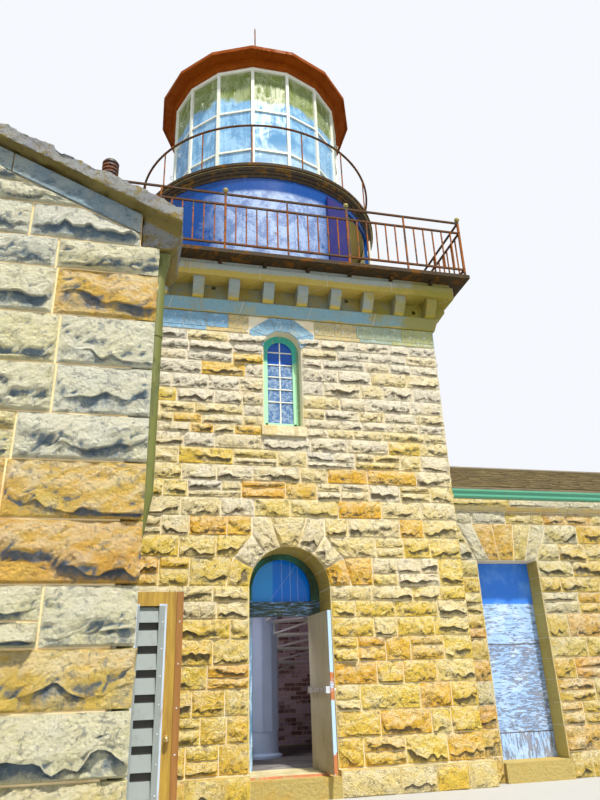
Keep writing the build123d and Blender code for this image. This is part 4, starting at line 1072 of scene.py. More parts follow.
def arch_reveal():
    """The curved undersides of the arch's stones."""
    stones = Heap()
    inner, outer = DOOR_HALF - REVEAL_THICK, DOOR_HALF + 0.003
    corners = ((outer, -TOWER_HALF), (inner, -TOWER_HALF), (inner, -REVEAL_BACK), (outer, -REVEAL_BACK))
    for start, end in pairwise(VOUSSOIR_ANGLES):
        turns = np.radians(np.linspace(start + 0.5, end - 0.5, 5))
        rings = [(radius * cos(turn), y, DOOR_SPRINGING + radius * sin(turn)) for turn in turns
                 for radius, y in corners]
        faces = [(here + k, here + (k + 1) % 4, here + 4 + (k + 1) % 4, here + 4 + k)
                 for here in range(0, 16, 4) for k in range(4)]
        stones.add(rings, faces + [(3, 2, 1, 0), (16, 17, 18, 19)])
    return stones


BOARDED_REVEAL = 0.29


def boarded_reveal():
    """Smooth stones down both sides of the boarded doorway."""
    stones = Masonry(joint=0.008)
    levels = (0.24, 0.65, 0.94, 1.24, 1.52, 1.80, 2.13, 2.43, 2.66, BOARDED_TOP)
    for x, out in ((BOARDED_LEFT, 1), (BOARDED_RIGHT, -1)):
        line_jamb(stones, x, out, WING_HALF, WING_HALF - BOARDED_REVEAL, levels)
    return stones


def tower_side(wall, roof_line):
    """A side of the tower above a wing's roof."""
    stones = Masonry(cell=0.045, bulge=(0.026, 0.052))
    levels = [z for z in TOWER_LEVELS if z > roof_line - 0.35]
    lay_wall(stones, wall, levels, lambda z: (-TOWER_HALF, TOWER_HALF), over=(0.02, 0.02))
    return stones


def tower_back():
    """The tower's back, with the same window as the front."""
    stones = Masonry(cell=0.045, bulge=(0.026, 0.055))
    gaps = (gap_box(-WINDOW_X - SILL_HALF, -WINDOW_X + SILL_HALF, SILL_BOTTOM, SILL_TOP),
            gap_arch(-WINDOW_X, WINDOW_HALF, WINDOW_SPRINGING, SILL_TOP))
    lay_wall(stones, BACK, TOWER_LEVELS, lambda z: (-TOWER_HALF, TOWER_HALF), gaps, over=(0.02, 0.02))
    return stones


DRESSED_LOW = 6.355
DRESSED_HIGH = (6.42, STRING_BOTTOM - 0.004)
WINDOW_ARCH_GAP = 0.53
WINDOW_ARCH_REACH = 0.52
WINDOW_ARCH_FOOT = 0.21


def dressed_band():
    """Smooth blocks between the rock-faced stones and the string course, and the windows' arches."""
    stones = Masonry(joint=0.008)
    for wall, window in ((FRONT, WINDOW_X), (BACK, -WINDOW_X), (RIGHT, None), (LEFT, None)):
        low, high = DRESSED_HIGH
        gaps = ()
        if window is not None:
            gaps = (gap_box(window - WINDOW_ARCH_GAP, window + WINDOW_ARCH_GAP, TOWER_LEVELS[-1], high + 1),)
            window_arch(stones, wall, window, high)
        for z0, z1, long in ((DRESSED_LOW, low, 0.8), (low, high, 0.62)):
            for a, b in free_spans(lambda z: (-TOWER_HALF, TOWER_HALF), gaps, (z0 + z1) / 2):
                joints = stone_joints(a, b, z1 - z0, long, int(z0 * 100))
                for s0, s1 in pairwise(joints):
                    stones.block(wall, s0, s1, z0, z1, band_tone((s0 + s1) / 2), 0.016)
    return stones


BAND_TONES = ((-0.93, 0.08), (-0.42, 0.86), (0.45, 0.10), (1.25, 0.80), (2.0, 0.36), (3.0, 0.58))


def band_tone(s):
    """The smooth blocks change their colour along the wall."""
    return next(tone for end, tone in BAND_TONES if s < end) + chance.uniform(-0.06, 0.06)


def window_arch(stones, wall, middle, top):
    """Five dressed stones round a window's head, cut level at their tops."""
    feet, shoulders = (0, 180), (38, 142)
    angles = (0, 38, 70, 110, 142, 180)
    high = top - WINDOW_SPRINGING
    for start, end in pairwise(angles):
        ends = []
        for angle in (start, end):
            turn = radians(angle)
            reach, level = WINDOW_ARCH_REACH, top
            if angle in feet:
                level = WINDOW_SPRINGING + WINDOW_ARCH_FOOT
            elif angle in shoulders:
                level = DRESSED_HIGH[0]
            else:
                reach = min(reach, high / max(sin(turn), 0.2) * abs(cos(turn)))
            ends.append((middle + reach * (1 if cos(turn) > 0 else -1), level))
        stones.stone(wall, edge_arc((middle, WINDOW_SPRINGING), WINDOW_HALF, start, end),
                     edge_line(*ends), chance.uniform(0.02, 0.2), 0.018)


def plinth_stones():
    """The base course: rock-faced below a plain sloping top."""
    stones = Masonry(cell=0.045, bulge=(0.02, 0.045))
    face = PLINTH_FACE
    runs = ((Wall((0, -face, 0), (0, -1, 0)), LEFT_INNER, -DOOR_HALF),
            (Wall((0, -face, 0), (0, -1, 0)), DOOR_HALF, face),
            (Wall((face, 0, 0), (1, 0, 0)), -face, -WING_HALF),
            (Wall((face, 0, 0), (1, 0, 0)), WING_HALF, face),
            (Wall((0, face, 0), (0, 1, 0)), -face, face),
            (Wall((-face, 0, 0), (-1, 0, 0)), -face, -WING_HALF))
    for wall, start, end in runs:
        lay_course(stones, wall, start, end, 0.0, PLINTH_TOP - 0.005, 0.8, (0.45, 0.9))
    return stones


# Wing masonry

KNEELER_BOTTOM = 3.87
LEFT_LEVELS = (0.0, 0.31, 0.62, 0.93, 1.22, 1.50, 1.80, 2.13, 2.45, 2.72, 3.02, 3.34, 3.66, 3.87, 4.12,
               4.38, 4.66, 4.92)
RIGHT_LEVELS = (0.0, 0.32, 0.65, 0.94, 1.24, 1.52, 1.80, 2.13, 2.43, 2.66, 2.90, 3.16, 3.45, 3.64)
BAND_DEEP = 0.15
BAND_TOP = WING_EAVE + ROOF_COVER + COPING_RISE
BAND_BOTTOM = BAND_TOP - BAND_DEEP
QUOIN_OVER = 0.135
DOWNSPOUT_EDGES = (-7.955, -7.84)
LEFT_OCHRE = ((2.25, 2.3), (2.2, 3.45), (2.1, 1.95), (-0.5, 1.4), (-1.2, 2.9), (0.8, 3.1), (0.2, 0.7))


def rake_half(half, z):
    """Half the width of a gable at a height, under the smooth band below its coping."""
    if z <= BAND_BOTTOM:
        return half
    return max(half - (z - BAND_BOTTOM) / WING_SLOPE, 0.01)


RAKE_STONE = 0.3


def rake_stone(stones, wall, side, half, inner, z0, z1, shift):
    """The five-cornered stone where a gable's upright end meets its rake."""
    base = [(side * s, z0) for s in (inner, half)][::side]
    head = [(side * inner, z1), (side * rake_half(half, z1), z1), (side * half, BAND_BOTTOM)][::side]
    stones.stone(wall, edge_path(*base), edge_path(*head), stone_tone((z0, z1), shift, 0.0, (), (0, 0)))


def gable(stones, wall, half, levels, cut=None, spots=(), shift=0.0, over=PLAIN_ENDS):
    """A gable wall: courses up to the rake, and a smooth band along it."""
    def reach(z):
        wide = rake_half(half, z)
        return (max(-wide, cut[0]) if cut else -wide, min(wide, cut[1]) if cut else wide)
    peak = BAND_BOTTOM + half * WING_SLOPE
    upright = [z for z in levels if z <= KNEELER_BOTTOM]
    lay_wall(stones, wall, upright, reach, (), spots, shift, 0.05, 0.78, over, 0.35)
    raking = [z for z in levels if KNEELER_BOTTOM <= z < peak - 0.1]
    inner = rake_half(half, raking[1]) - RAKE_STONE
    ends = (max(-inner, cut[0]) if cut else -inner, min(inner, cut[1]) if cut else inner)
    lay_wall(stones, wall, raking[:2], lambda z: ends, (), spots, shift, 0.04, 0.78, PLAIN_ENDS, 0.35)
    lay_wall(stones, wall, raking[1:], reach, (), spots, shift, 0.04, 0.78, PLAIN_ENDS, 0.35)
    for side in (-1, 1):
        if not cut or cut[0] < side * half < cut[1]:
            rake_stone(stones, wall, side, half, inner, raking[0], raking[1], shift)
    for side in (-1, 1):
        steps = np.linspace(0, half, 4)
        for a, b in pairwise(steps):
            near, far = sorted((side * a, side * b))
            if cut and not cut[0] < (near + far) / 2 < cut[1]:
                continue
            line = [(s, BAND_TOP + (half - abs(s)) * WING_SLOPE) for s in (near, far)]
            # tone -0.2 takes the ramp's first colour: on the left wing a blue-grey, painted shade under the
            # coping
            stones.stone(wall, edge_line(*[(s, z - BAND_DEEP) for s, z in line]), edge_line(*line),
                         -0.2, 0.022)


def left_gable():
    """The gable that faces the front, with rough corner stones that reach past its side walls."""
    stones = Masonry(cell=0.024, bulge=(0.045, 0.085), joint=0.011)
    front = Wall((LEFT_MIDDLE, LEFT_FRONT, 0), (0, -1, 0))
    gable(stones, front, LEFT_HALF, LEFT_LEVELS, None, LEFT_OCHRE, -0.06, (QUOIN_OVER, QUOIN_OVER))
    return stones


def left_back():
    """The left wing's back gable, up to the tower."""
    stones = Masonry(cell=0.05)
    back = Wall((LEFT_MIDDLE, WING_HALF, 0), (0, 1, 0))
    gable(stones, back, LEFT_HALF, LEFT_LEVELS, (LEFT_MIDDLE + TOWER_HALF, 9.0), (), -0.05, (None, 0.03))
    return stones


def left_sides():
    """The left wing's side walls, round the louvred doorway and clear of the downspout."""
    stones = Masonry(cell=0.045, bulge=(0.03, 0.065))
    levels = [z for z in LEFT_LEVELS if z <= 3.66]
    levels[-1] = COURSE_BOTTOM
    levels.insert(levels.index(2.45), LOUVRE_TOP)
    inner = Wall((LEFT_INNER, 0, 0), (1, 0, 0))
    gaps = (gap_box(LOUVRE_FRONT, LOUVRE_BACK, -1, LOUVRE_TOP),)
    lay_wall(stones, inner, levels, lambda z: (DOWNSPOUT_EDGES[1], -TOWER_HALF), gaps, (), -0.05, 0.06, 0.75)
    outer = Wall((LEFT_SIDE, 0, 0), (-1, 0, 0))
    lay_wall(stones, outer, levels, lambda z: (-WING_HALF, -DOWNSPOUT_EDGES[0]), (), (), -0.05, 0.06, 0.75,
             (0.03, None))
    return stones


FLAT_ARCH_LOW = (2.875, 3.075, 3.25, 3.49, 3.68, 3.875)
FLAT_ARCH_HIGH = (2.62, 2.87, 3.20, 3.56, 3.86, 4.13)
FLAT_ARCH_TONES = (0.3, 0.88, 0.84, 0.5, 0.35)
FLAT_ARCH_TOP = 3.45
RIGHT_OCHRE = ((2.7, 2.0), (2.7, 1.4), (4.45, 1.45), (4.6, 2.1), (4.4, 3.5), (2.7, 0.75), (4.2, 0.45))


def right_wing():
    """The right wing's front, round the boarded doorway and its flat arch."""
    stones = Masonry(cell=0.028, bulge=(0.030, 0.060))
    front = Wall((0, -WING_HALF, 0), (0, -1, 0))

    def opening(z):
        if z < BOARDED_TOP:
            return (BOARDED_LEFT, BOARDED_RIGHT)
        if z > FLAT_ARCH_TOP:
            return None
        share = (z - BOARDED_TOP) / (FLAT_ARCH_TOP - BOARDED_TOP)
        return (FLAT_ARCH_LOW[0] + (FLAT_ARCH_HIGH[0] - FLAT_ARCH_LOW[0]) * share,
                FLAT_ARCH_LOW[-1] + (FLAT_ARCH_HIGH[-1] - FLAT_ARCH_LOW[-1]) * share)

    lay_wall(stones, front, RIGHT_LEVELS, lambda z: (TOWER_HALF, RIGHT_END), (opening,), RIGHT_OCHRE, 0.02,
             over=(None, 0.02))
    for k, tone in enumerate(FLAT_ARCH_TONES):
        stones.block(front, FLAT_ARCH_LOW[k], FLAT_ARCH_LOW[k + 1], BOARDED_TOP, FLAT_ARCH_TOP, tone, None,
                     PLAIN_ENDS, (FLAT_ARCH_HIGH[k], FLAT_ARCH_HIGH[k + 1]))
    return stones


def right_wing_far():
    """The right wing's back and its gable."""
    stones = Masonry(cell=0.05, bulge=(0.028, 0.058))
    back = Wall((0, WING_HALF, 0), (0, 1, 0))
    lay_wall(stones, back, RIGHT_LEVELS, lambda z: (-RIGHT_END, -TOWER_HALF), over=(0.02, None))
    gable(stones, Wall((RIGHT_END, 0, 0), (1, 0, 0)), WING_HALF, LEFT_LEVELS, over=(0.02, 0.02))
    return stones


EAVES_FACE = (3.705, 3.815)
EAVES_STOP = 0.45


def eaves_stones():
    """Rock-faced fronts of the eaves courses, above their bevel."""
    stones = Masonry(cell=0.035, bulge=(0.012, 0.026))
    reach = 0.08
    runs = ((Wall((0, -WING_HALF - reach, 0), (0, -1, 0)), TOWER_HALF, RIGHT_END - EAVES_STOP),
            (Wall((0, WING_HALF + reach, 0), (0, 1, 0)), EAVES_STOP - RIGHT_END, -TOWER_HALF),
            (Wall((LEFT_INNER + reach, 0, 0), (1, 0, 0)), LEFT_FRONT + EAVES_STOP, -TOWER_HALF),
            (Wall((LEFT_SIDE - reach, 0, 0), (-1, 0, 0)), EAVES_STOP - WING_HALF, -LEFT_FRONT - EAVES_STOP))
    for wall, start, end in runs:
        lay_course(stones, wall, start, end, *EAVES_FACE, 1.0, (0.3, 0.6))
    return stones


# Repeated pieces

TONE_SEED = 3


def repeated(name, chip, spots, turns, sizes, finish, slot):
    """One chip on many points, each with its turn, size and tone, realized into one mesh."""
    cloud = bpy.data.meshes.new(name + "_points")
    cloud.from_pydata(spots, [], [])
    for label, values in (("turn", turns), ("size", sizes)):
        store = cloud.attributes.new(label, "FLOAT_VECTOR", "POINT")
        store.data.foreach_set("vector", np.array(values, float).ravel())
    holder = link(bpy.data.objects.new(name + "_points", cloud))
    group = repeat_group()
    change = holder.modifiers.new("repeat", "NODES")
    change.node_group = group
    given = {"Chip": chip, "Seed": TONE_SEED, "Finish": finish}
    for socket in group.interface.items_tree:
        if socket.item_type == "SOCKET" and socket.name in given:
            change[socket.identifier] = given[socket.name]
    mesh = applied(holder)
    bpy.data.objects.remove(chip)
    mesh.name = name
    if not mesh.materials:
        mesh.materials.append(finish)
    return settle(bpy.data.objects.new(name, mesh), slot)


def repeat_group():
    """Geometry nodes: the chip on each point, a random tone, then one plain mesh."""
    if "repeat_chips" in bpy.data.node_groups:
        return bpy.data.node_groups["repeat_chips"]
    group = bpy.data.node_groups.new("repeat_chips", "GeometryNodeTree")
    for name, kind in (("Geometry", "NodeSocketGeometry"), ("Chip", "NodeSocketObject"),
                       ("Seed", "NodeSocketInt"), ("Finish", "NodeSocketMaterial")):
        group.interface.new_socket(name, in_out="INPUT", socket_type=kind)
    group.interface.new_socket("Geometry", in_out="OUTPUT", socket_type="NodeSocketGeometry")
    given = group.nodes.new("NodeGroupInput")
    result = group.nodes.new("NodeGroupOutput")

    def add(kind, settings=None, sockets=None):
        made = group.nodes.new(kind)
        for key, value in (settings or {}).items():
            setattr(made, key, value)
        for key, value in (sockets or {}).items():
            if isinstance(value, bpy.types.NodeSocket):
                group.links.new(value, made.inputs[key])
            else:
                made.inputs[key].default_value = value
        return made

    chip = add("GeometryNodeObjectInfo", None, {"Object": given.outputs["Chip"], "As Instance": True})
    turn = add("GeometryNodeInputNamedAttribute", {"data_type": "FLOAT_VECTOR"}, {"Name": "turn"})
    size = add("GeometryNodeInputNamedAttribute", {"data_type": "FLOAT_VECTOR"}, {"Name": "size"})
    placed = add("GeometryNodeInstanceOnPoints", None, {
        "Points": given.outputs["Geometry"], "Instance": chip.outputs["Geometry"],
        "Rotation": turn.outputs["Attribute"], "Scale": size.outputs["Attribute"]})
    tone = add("FunctionNodeRandomValue", {"data_type": "FLOAT"}, {"Seed": given.outputs["Seed"]})
    toned = add("GeometryNodeStoreNamedAttribute", {"data_type": "FLOAT", "domain": "INSTANCE"}, {
        "Geometry": placed.outputs["Instances"], "Name": "tone",
        "Value": next(out for out in tone.outputs if out.enabled and out.type == "VALUE")})
    plain = add("GeometryNodeRealizeInstances", None, {"Geometry": toned.outputs["Geometry"]})
    painted = add("GeometryNodeSetMaterial", None, {
        "Geometry": plain.outputs["Geometry"], "Material": given.outputs["Finish"]})
    group.links.new(painted.outputs["Geometry"], result.inputs["Geometry"])
    return group


def chip_object(name, heap):
    """The shape that is repeated. It leaves the scene once its copies are made."""
    mesh = bpy.data.meshes.new(name)
    mesh.from_pydata(heap.points, [], heap.faces)
    outward(mesh)
    return link(bpy.data.objects.new(name, mesh))


SHINGLE_STEP = 0.13
SHINGLE_WIDE = 0.15
SHINGLE_LONG = 0.30
SHINGLE_THICK = 0.016
SHINGLE_STOP = 0.455
RIDGE_STOP = 0.46
RIDGE_WIDE = 0.13


def shingles(name, along, start, end, middle, half, skip, finish):
    """Rows of shingles up both slopes of a wing's roof."""
    chip = Heap()
    chip.add([(x, y, z) for y, low, high in ((0.0, -0.2, 1.0), (1.0, -0.2, 0.15)) for x in (-0.5, 0.5)
              for z in (low, high)],
             [(0, 2, 3, 1), (4, 5, 7, 6), (0, 4, 6, 2), (1, 3, 7, 5), (0, 1, 5, 4), (2, 6, 7, 3)])
    spots, turns, sizes = [], [], []
    pitch = np.arctan(WING_SLOPE)
    ridge = WING_EAVE + ROOF_COVER + half * WING_SLOPE
    reach = half + 0.045
    rows = int(reach / cos(pitch) / SHINGLE_STEP) + 1
    for side in (-1, 1):
        for row in range(rows):
            across = reach - row * SHINGLE_STEP * cos(pitch)
            if across < 0.03:
                continue
            long = min(SHINGLE_LONG, across / cos(pitch))
            place = start + (0.5 if row % 2 else 0.15) * SHINGLE_WIDE
            while place < end - 0.02:
                wide = SHINGLE_WIDE * chance.uniform(0.55, 1.25)
                wide = min(wide, end - place)
                at = place + wide / 2
                place += wide
                spot = (at, middle + side * across) if along == "x" else (middle + side * across, at)
                if skip(*spot):
                    continue
                spots.append((*spot, ridge - across * WING_SLOPE + 0.003))
                tilt = pitch + chance.uniform(-0.006, 0.006)
                if along == "x":
                    turns.append((tilt, 0, 0) if side < 0 else (tilt, 0, pi))
                else:
                    turns.append((tilt, 0, -pi / 2) if side < 0 else (tilt, 0, pi / 2))
                sizes.append((wide - 0.004, long, SHINGLE_THICK * chance.uniform(0.8, 1.3)))
    return repeated(name, chip_object(name + "_chip", chip), spots, turns, sizes, finish, "shingles")


def ridge_boards(finish):
    """Two boards along each ridge."""
    boards = Heap()
    ridges = (("x", TOWER_HALF + 0.04, RIGHT_END - RIDGE_STOP, 0.0, WING_HALF),
              ("y", LEFT_FRONT + RIDGE_STOP, WING_HALF - RIDGE_STOP, LEFT_MIDDLE, LEFT_HALF))
    for along, start, end, middle, half in ridges:
        top = WING_EAVE + ROOF_COVER + half * WING_SLOPE + 0.04
        for side in (-1, 1):
            foot = top - RIDGE_WIDE * WING_SLOPE
            line = [(0.0, top), (side * RIDGE_WIDE, foot - 0.004), (side * RIDGE_WIDE, foot - 0.024),
                    (0.0, top - 0.02)]
            points = [((at, middle + off, z) if along == "x" else (middle + off, at, z))
                      for at in (start, end) for off, z in line]
            boards.add(points, [(0, 1, 2, 3), (7, 6, 5, 4), (0, 4, 5, 1), (1, 5, 6, 2), (2, 6, 7, 3),
                                (3, 7, 4, 0)])
    return boards.piece("ridge_boards", finish, "shingles", bevel=0.003)


BRICK_LONG, BRICK_TALL, BRICK_THICK = 0.215, 0.065, 0.014
BRICK_JOINT = 0.01
BRICK_FOOT = 0.26
LINED_DOOR_TOP = 3.12
ROOM_HALF = 1.797


def brick_lining(finish):
    """Whitewashed bricks on the tower's inner faces."""
    chip = Heap()
    chip.add([(-0.48, -0.5, -0.44), (0.48, -0.5, -0.44), (0.48, -0.5, 0.44), (-0.48, -0.5, 0.44),
              (-0.5, 0.5, -0.5), (0.5, 0.5, -0.5), (0.5, 0.5, 0.5), (-0.5, 0.5, 0.5)],
             [(0, 1, 2, 3), (5, 4, 7, 6), (4, 5, 1, 0), (1, 5, 6, 2), (2, 6, 7, 3), (4, 0, 3, 7)])
    spots, turns, sizes = [], [], []
    for side in range(4):
        turn = side * pi / 2
        rows = int((STRING_BOTTOM - BRICK_FOOT) / (BRICK_TALL + BRICK_JOINT))
        for row in range(rows):
            z = BRICK_FOOT + (row + 0.5) * (BRICK_TALL + BRICK_JOINT)
            s = -ROOM_HALF + (0.11 if row % 2 else 0.0)
            while s < ROOM_HALF - 0.05:
                wide = min(BRICK_LONG, ROOM_HALF - s)
                at = s + wide / 2
                s += BRICK_LONG + BRICK_JOINT
                if lining_gap(side, at, z, wide / 2):
                    continue
                deep = ROOM_HALF - BRICK_THICK / 2
                spots.append((cos(turn) * at - sin(turn) * deep, sin(turn) * at + cos(turn) * deep, z))
                turns.append((0, 0, turn))
                sizes.append((wide, BRICK_THICK, BRICK_TALL))
    return repeated("brick_lining", chip_object("brick_chip", chip), spots, turns, sizes, finish, "sandstone")


def lining_gap(side, at, z, half):
    """Where a doorway or a window interrupts the bricks. Sides 2 and 0 are the front and the back."""
    if side == 2 and z < LINED_DOOR_TOP:
        return abs(at) < DOOR_HALF + half
    return side in (0, 2) and z > SILL_TOP - 0.1 and abs(at + WINDOW_X) < WINDOW_HALF + half


# Timber, iron and glass details

COLUMN_BOARDS = 12
COLUMN_RADIUS = 0.300
COLUMN_FOOT = 0.62
COLUMN_TOP = 7.44
BOARD_THICK = 0.013


def column_boards(finish):
    """Flat upright boards with open grooves round the central column."""
    boards = Heap()
    inner, outer = COLUMN_RADIUS - 0.004, COLUMN_RADIUS + BOARD_THICK
    for number in range(COLUMN_BOARDS):
        start = 360 * number / COLUMN_BOARDS + 0.6
        end = 360 * (number + 1) / COLUMN_BOARDS - 0.6
        boards.turned([(inner, COLUMN_FOOT), (outer, COLUMN_FOOT), (outer, COLUMN_TOP), (inner, COLUMN_TOP)],
                      1, start, end)
    return boards.piece("column_boards", finish, "white_board", bevel=0.003)


GLASS_FRONT = 2.326
SASH_FACE = GLASS_FRONT + 0.014
WINDOW_BARS = (5.307, 5.523, 5.733, 5.948, 6.163)


def window_bars(green, white):
    """The upper windows: a green sash inside the frame and white glazing bars, front and back."""
    sash = Heap()
    bars = Heap()
    for side in (-1, 1):
        middle = WINDOW_X * -side
        near, far = sorted((side * GLASS_FRONT, side * (SASH_FACE + 0.012)))
        half = WINDOW_HALF - 0.055
        sash.arch(middle, WINDOW_SPRINGING, SILL_TOP + 0.05, half - 0.045, half + 0.004, near, far)
        sash.box(middle - half, middle + half, near, far, SILL_TOP + 0.05, SILL_TOP + 0.13)
        near, far = sorted((side * GLASS_FRONT, side * SASH_FACE))
        bars.box(middle - 0.009, middle + 0.009, near, far, SILL_TOP + 0.13, WINDOW_SPRINGING + half - 0.05)
        for z in WINDOW_BARS:
            wide = half - 0.05
            if z > WINDOW_SPRINGING:
                wide = sqrt(wide * wide - (z - WINDOW_SPRINGING) ** 2)
            bars.box(middle - wide, middle + wide, near, far, z - 0.008, z + 0.008)
    return (sash.piece("window_sashes", green, "window_green", bevel=0.003),
            bars.piece("window_bars", white, "window_green", bevel=0.002))


FRAME_FRONT = -1.95
FANLIGHT_SPRINGING = 2.542
FANLIGHT_HALF = 0.43


def fanlight_mouldings(finish):
    """Mouldings round the fanlight and on its transom."""
    moulding = Heap()
    y0, y1 = FRAME_FRONT - 0.016, FRAME_FRONT + 0.004
    moulding.arch(0.0, FANLIGHT_SPRINGING, 2.36, FANLIGHT_HALF, FANLIGHT_HALF + 0.022, y0, y1, 28)
    moulding.arch(0.0, FANLIGHT_SPRINGING, 2.36, FANLIGHT_HALF + 0.05, FANLIGHT_HALF + 0.068, y0, y1, 28)
    for z0, z1, reach in ((2.335, 2.375, 0.034), (2.27, 2.30, 0.020), (2.19, 2.225, 0.014)):
        moulding.box(-0.50, 0.50, FRAME_FRONT - reach, FRAME_FRONT + 0.004, z0, z1)
    return moulding.piece("fanlight_mouldings", finish, "door_green", bevel=0.003)


def door_closer(finish):
    """The closer near the top of the tower's door, and its arm. They ride on the leaf."""
    parts = Heap()
    parts.box(0.466, 0.496, -2.25, -2.02, 2.055, 2.115)
    parts.tube([(0.49, -2.04, 2.085), (0.505, -1.99, 2.10), (0.47, -1.955, 2.115)], 0.007, 8)
    return parts.piece("tower_door_closer", finish, "lock_metal", "tower_door", bevel=0.004)


LANTERN_SIDES = 16
LANTERN_RADIUS = 1.85
HANDHOLD_HEIGHTS = (10.55, 11.45, 12.3)


def lantern_handholds(finish):
    """Small loops on every mullion of the lantern, at three heights."""
    loops = Heap()
    for number in range(LANTERN_SIDES):
        angle = 2 * pi * number / LANTERN_SIDES
        out = Vector((cos(angle), sin(angle), 0))
        for z in HANDHOLD_HEIGHTS:
            path = [out * (LANTERN_RADIUS - 0.02 + 0.052 * sin(turn)) + Vector((0, 0, z + 0.05 * cos(turn)))
                    for turn in (pi * k / 6 for k in range(7))]
            loops.tube(path, 0.006, 6)
    return loops.piece("lantern_handholds", finish, "lantern_paint", smooth=True)


def lantern_lining(ceiling, ring):
    """Sheet ceiling inside the lantern's roof, and the iron ring that hangs under it."""
    cone = Heap()
    cone.turned([(1.70, 13.03), (1.74, 13.03), (1.76, 13.26), (0.24, 13.96), (0.22, 13.94),
                 (1.70, 13.235)], 48)
    rings = Heap()
    rings.turned([(1.40, 13.08), (1.44, 13.08), (1.44, 13.13), (1.40, 13.13)], 48)
    for number in range(8):
        angle = 2 * pi * (number + 0.5) / 8
        at = Vector((1.42 * cos(angle), 1.42 * sin(angle), 0))
        rings.tube([at + Vector((0, 0, 13.12)), at + Vector((0, 0, 13.40))], 0.008, 6)
    return (cone.piece("lantern_ceiling", ceiling, "lantern_paint", smooth=True),
            rings.piece("lantern_ring", ring, "rusty_iron"))


WATCH_RADIUS = 2.35
WATCH_LOW = 7.512
WATCH_HIGH = 9.68
WATCH_SEAMS = 16
SEAM_HALF = 0.8
LINING_BOARDS = 72
LINING_INNER, LINING_OUTER = 2.268, 2.288
WATCH_DOORWAY = (-53.0, -27.0)


def watch_seams(finish):
    """Lapped plate edges, and a sill angle, on the watch room's outside."""
    seams = Heap()
    inner, lap = WATCH_RADIUS - 0.003, WATCH_RADIUS + 0.007
    flange, sill = WATCH_RADIUS + 0.010, WATCH_RADIUS + 0.05
    for number in range(WATCH_SEAMS):
        middle = 360 * (number + 0.35) / WATCH_SEAMS
        facing = (middle + 180) % 360 - 180
        if WATCH_DOORWAY[0] - 16 < facing < WATCH_DOORWAY[1] + 16:
            continue
        seams.turned([(inner, WATCH_LOW + 0.08), (lap, WATCH_LOW + 0.08), (lap, WATCH_HIGH),
                      (inner, WATCH_HIGH)], 2, middle - SEAM_HALF, middle + SEAM_HALF)
    start, end = WATCH_DOORWAY[1] + 0.2, WATCH_DOORWAY[0] + 359.8
    seams.turned([(inner, WATCH_LOW), (sill, WATCH_LOW), (sill, WATCH_LOW + 0.012),
                  (flange, WATCH_LOW + 0.018), (flange, WATCH_LOW + 0.09), (inner, WATCH_LOW + 0.09)],
                 96, start, end)
    return seams.piece("watch_room_seams", finish, "navy_iron", bevel=0.0015)


def watch_lining(finish):
    """Cream boarding inside the watch room, open at the doorway."""
    boards = Heap()
    start, end = WATCH_DOORWAY[1] + 0.5, WATCH_DOORWAY[0] + 359.5
    foot, top = WATCH_LOW + 0.01, WATCH_HIGH - 0.01
    for number in range(LINING_BOARDS):
        low = start + (end - start) * number / LINING_BOARDS + 0.12
        high = start + (end - start) * (number + 1) / LINING_BOARDS - 0.12
        boards.turned([(LINING_INNER, foot), (LINING_OUTER, foot), (LINING_OUTER, top), (LINING_INNER, top)],
                      1, low, high)
    return boards.piece("watch_room_lining", finish, "white_board", bevel=0.002)


COPING_VOXEL = 0.026


def read_vectors(mesh, what):
    """One vector for each point of a mesh."""
    values = np.empty(len(mesh.vertices) * 3)
    mesh.vertices.foreach_get(what, values)
    return values.reshape(-1, 3)


def weathered_copings(finish):
    """The copings as worn stone: the CAD's solids merged, remeshed and roughened."""
    mesh = nodes["wing_copings"].data.copy()
    shape = bmesh.new()
    shape.from_mesh(mesh)
    bmesh.ops.remove_doubles(shape, verts=shape.verts, dist=0.0001)
    shape.to_mesh(mesh)
    shape.free()
    piece = link(bpy.data.objects.new("weathered_copings", mesh))
    remesh = piece.modifiers.new("remesh", "REMESH")
    remesh.mode = "VOXEL"
    remesh.voxel_size = COPING_VOXEL
    worn = applied(piece)
    points = read_vectors(worn, "co")
    normals = read_vectors(worn, "normal")
    along = points[:, 0] + points[:, 1] * 0.7
    across = points[:, 2] + points[:, 1] * 0.45
    depth = 0.012 * rough(along, across, 0.22, 3) + 0.011 * rough(along, across, 0.07, 5) - 0.012
    depth = depth - 0.012 * smooth_step(rough(along, across, 0.055, 9), 0.2, 0.6)
    points = points + normals * depth[:, None]
    worn.vertices.foreach_set("co", points.ravel())
    # faces that look down: more moss on them, and painted shade
    under = smooth_step(-normals[:, 2], 0.1, 0.8)
    worn.attributes.new("under", "FLOAT", "POINT").data.foreach_set("value", under)
    worn.materials.clear()
    worn.materials.append(finish)
    worn.shade_smooth()
    worn.name = "weathered_copings"
    piece = settle(bpy.data.objects.new("weathered_copings", worn), "dressed_stone")
    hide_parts("wing_copings")
    return piece


LOUVRE_FACE = -3.704
LOUVRE_STRIPS = ((-1.9905, 0.0225), (-1.7125, 0.0425))
LOUVRE_SLOTS = (-1.8415, 0.1515)
LOUVRE_MIDDLE = 1.175
LOUVRE_COVER = -1.526
COVER_FACE = -3.710


